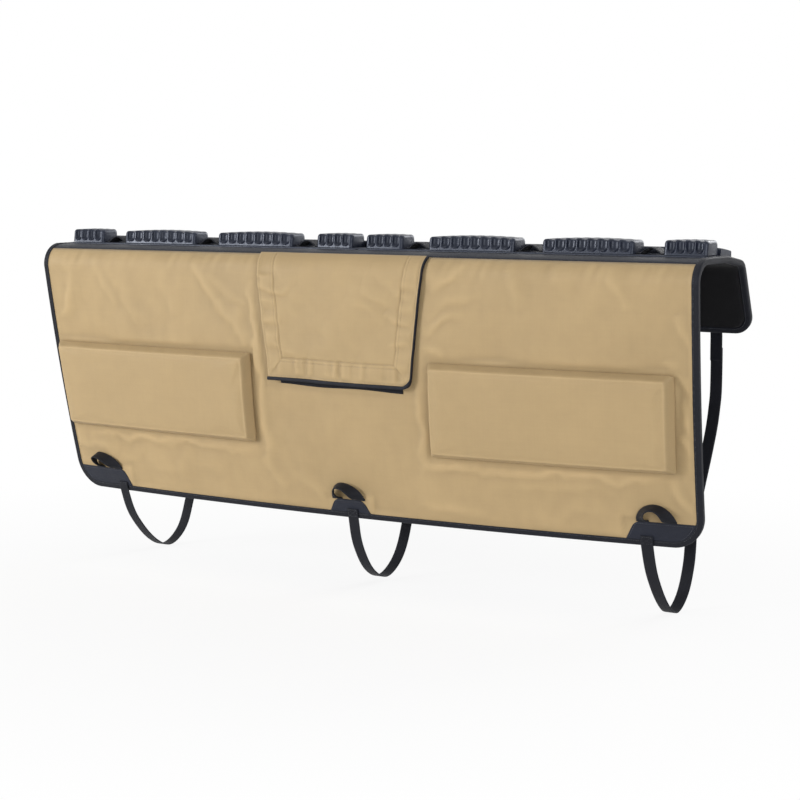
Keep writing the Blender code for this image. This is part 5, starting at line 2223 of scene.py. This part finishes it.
    def frame_strap(self, number: int, left: float) -> None:
        """One strap arched across a slot.

        Args:
            number: Which strap.
            left: Where its slot begins.
        """
        middle = self.front_y + self.depth / 2
        start, end = left + GAP, left + self.slot - GAP
        base = self.on_rail + self.strap_thickness / 2
        shares = np.linspace(0, 1, 29)
        spots = [(start, 0.0), (start + 0.004, 0.0)]
        spots += [(start + 0.008 + (end - start - 0.016) * k, self.arch * math.sin(math.pi * k)) for k in shares]
        spots += [(end - 0.004, 0.0), (end, 0.0)]
        path = [Vector((x, middle, base + rise)) for x, rise in spots]
        node = "frame_strap_%d" % number
        sides = [Vector((0, 1, 0))] * len(path)
        piece = ribbon(node + "_webbing", path, sides, self.strap_width, self.strap_thickness)
        self.fitter.fit(piece, Cloths.WEBBING, node, node)

    def build(self) -> None:
        """Builds the whole row."""
        self.rail("left", -1)
        self.rail("right", 1)
        spans = self.spans()
        for number, (left, width) in enumerate(spans, 1):
            self.block(number, left, width)
        for number, k in enumerate((0, 1, 2, 4, 5, 6), 1):
            self.frame_strap(number, spans[k][0] + spans[k][1])


# Studio


@dataclass
class Studio:
    """Floor, light and camera."""

    focal: float = 2051.16
    yaw: float = math.radians(32.9783)
    pitch: float = math.radians(6.7473)
    roll: float = math.radians(-0.336)
    place: tuple[float, float, float] = (2.32246, -3.43908, 0.19630)
    frame: int = 800
    ambient: float = 0.20
    floor_reach: float = 9.0
    lamps: tuple[tuple[str, tuple[float, float, float], float, float], ...] = (
        ("key", (-3.0, -3.3, 0.8), 1.5, 126.0),
        ("fill", (3.6, -3.0, 0.2), 2.2, 84.0),
        ("overhead", (0.3, 0.5, 3.6), 2.2, 19.0),
        ("rear", (1.0, 3.6, 1.4), 2.4, 90.0),
    )

    def camera(self) -> None:
        """The camera at the photograph's viewing angle."""
        right = Vector((math.cos(self.yaw), math.sin(self.yaw), 0.0))
        level = Vector((-math.sin(self.yaw), math.cos(self.yaw), 0.0))
        ahead = level * math.cos(self.pitch) - Vector((0.0, 0.0, math.sin(self.pitch)))
        up = right.cross(ahead)
        side = right * math.cos(self.roll) + up * math.sin(self.roll)
        top = up * math.cos(self.roll) - right * math.sin(self.roll)
        data = bpy.data.cameras.new("camera")
        data.sensor_width = 36.0
        data.lens = self.focal * data.sensor_width / self.frame
        data.clip_end = 60.0
        camera = bpy.data.objects.new("camera", data)
        bpy.context.scene.collection.objects.link(camera)
        turned = Matrix((side, top, -ahead)).transposed().to_4x4()
        camera.matrix_world = Matrix.Translation(Vector(self.place)) @ turned
        bpy.context.scene.camera = camera

    def lamp(self, name: str, spot: tuple[float, float, float], size: float, power: float) -> None:
        """One soft square light aimed at the pad.

        Args:
            name: Name of the light.
            spot: Where it stands.
            size: Length of its sides.
            power: Its strength in watts.
        """
        data = bpy.data.lights.new(name, "AREA")
        data.shape = "SQUARE"
        data.size = size
        data.energy = power
        lamp = bpy.data.objects.new(name, data)
        lamp.visible_camera = False
        lamp.location = spot
        lamp.rotation_euler = (Vector((0, 0, -0.2)) - Vector(spot)).to_track_quat("-Z", "Y").to_euler()
        bpy.context.scene.collection.objects.link(lamp)

    def surroundings(self) -> None:
        """Plain light from all round, white to the camera."""
        world = bpy.data.worlds.new("surroundings")
        bpy.context.scene.world = world
        world.use_nodes = True
        graph = Graph(world.node_tree)
        background = world.node_tree.nodes["Background"]
        background.inputs["Color"].default_value = (1.0, 1.0, 1.0, 1.0)
        strength = graph.span(graph.seen(), 0.0, 1.0, self.ambient, 1.0)
        graph.feed(background.inputs["Strength"], strength)

    def floor(self, level: float) -> None:
        """A pale floor that keeps the pad's shadow and fades to white.

        Args:
            level: Height of the floor.
        """
        reach = self.floor_reach
        points = [(-reach, -reach, level), (reach, -reach, level), (reach, reach, level), (-reach, reach, level)]
        piece = add_object("floor", np.array(points, float), [[0, 1, 2, 3]])
        made, graph, shader = begin("pale_floor", Base_Color=(0.9, 0.9, 0.9, 1.0), Roughness=0.9)
        place = graph.add("ShaderNodeTexCoord").outputs["Object"]
        away = graph.add("ShaderNodeVectorMath", {"operation": "LENGTH"}, Vector=place).outputs["Value"]
        fade = graph.span(away, 0.7, 1.7, 0.86, 1.0)
        white = graph.add("ShaderNodeEmission", Color=(1.0, 1.0, 1.0, 1.0), Strength=1.0)
        both = graph.add("ShaderNodeMixShader", Fac=graph.times(graph.seen(), fade))
        graph.feed(both.inputs[1], shader.outputs[0])
        graph.feed(both.inputs[2], white.outputs[0])
        graph.feed(made.node_tree.nodes["Material Output"].inputs["Surface"], both.outputs[0])
        piece.data.materials.append(made)
        piece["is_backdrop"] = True

    def build(self, level: float) -> None:
        """Sets up the whole studio round the pad.

        Args:
            level: Height of the floor.
        """
        bpy.context.scene.view_settings.view_transform = "Standard"
        self.camera()
        self.surroundings()
        for lamp in self.lamps:
            self.lamp(*lamp)
        self.floor(level)


def corners(bounds: object) -> list[list[float]]:
    """A box's two corners as plain lists."""
    return [[float(value) for value in corner] for corner in bounds]


def main() -> None:
    """Builds every sub-assembly in order."""
    logging.basicConfig(level=logging.INFO, format="%(name)s: %(message)s")
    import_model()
    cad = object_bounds()
    skin = PadSkin()
    fitter = Fitter()
    Studio().build(float(cad[0][2]) - 0.001)
    for kind in (FrontCover, TopCover, Lining, EdgeTape, AccessFlap, RaisedPads, Patches, Webbing, BlockRow):
        LOG.info("building %s", kind.__name__)
        kind(skin, fitter).build()


if __name__ == "__main__":
    main()
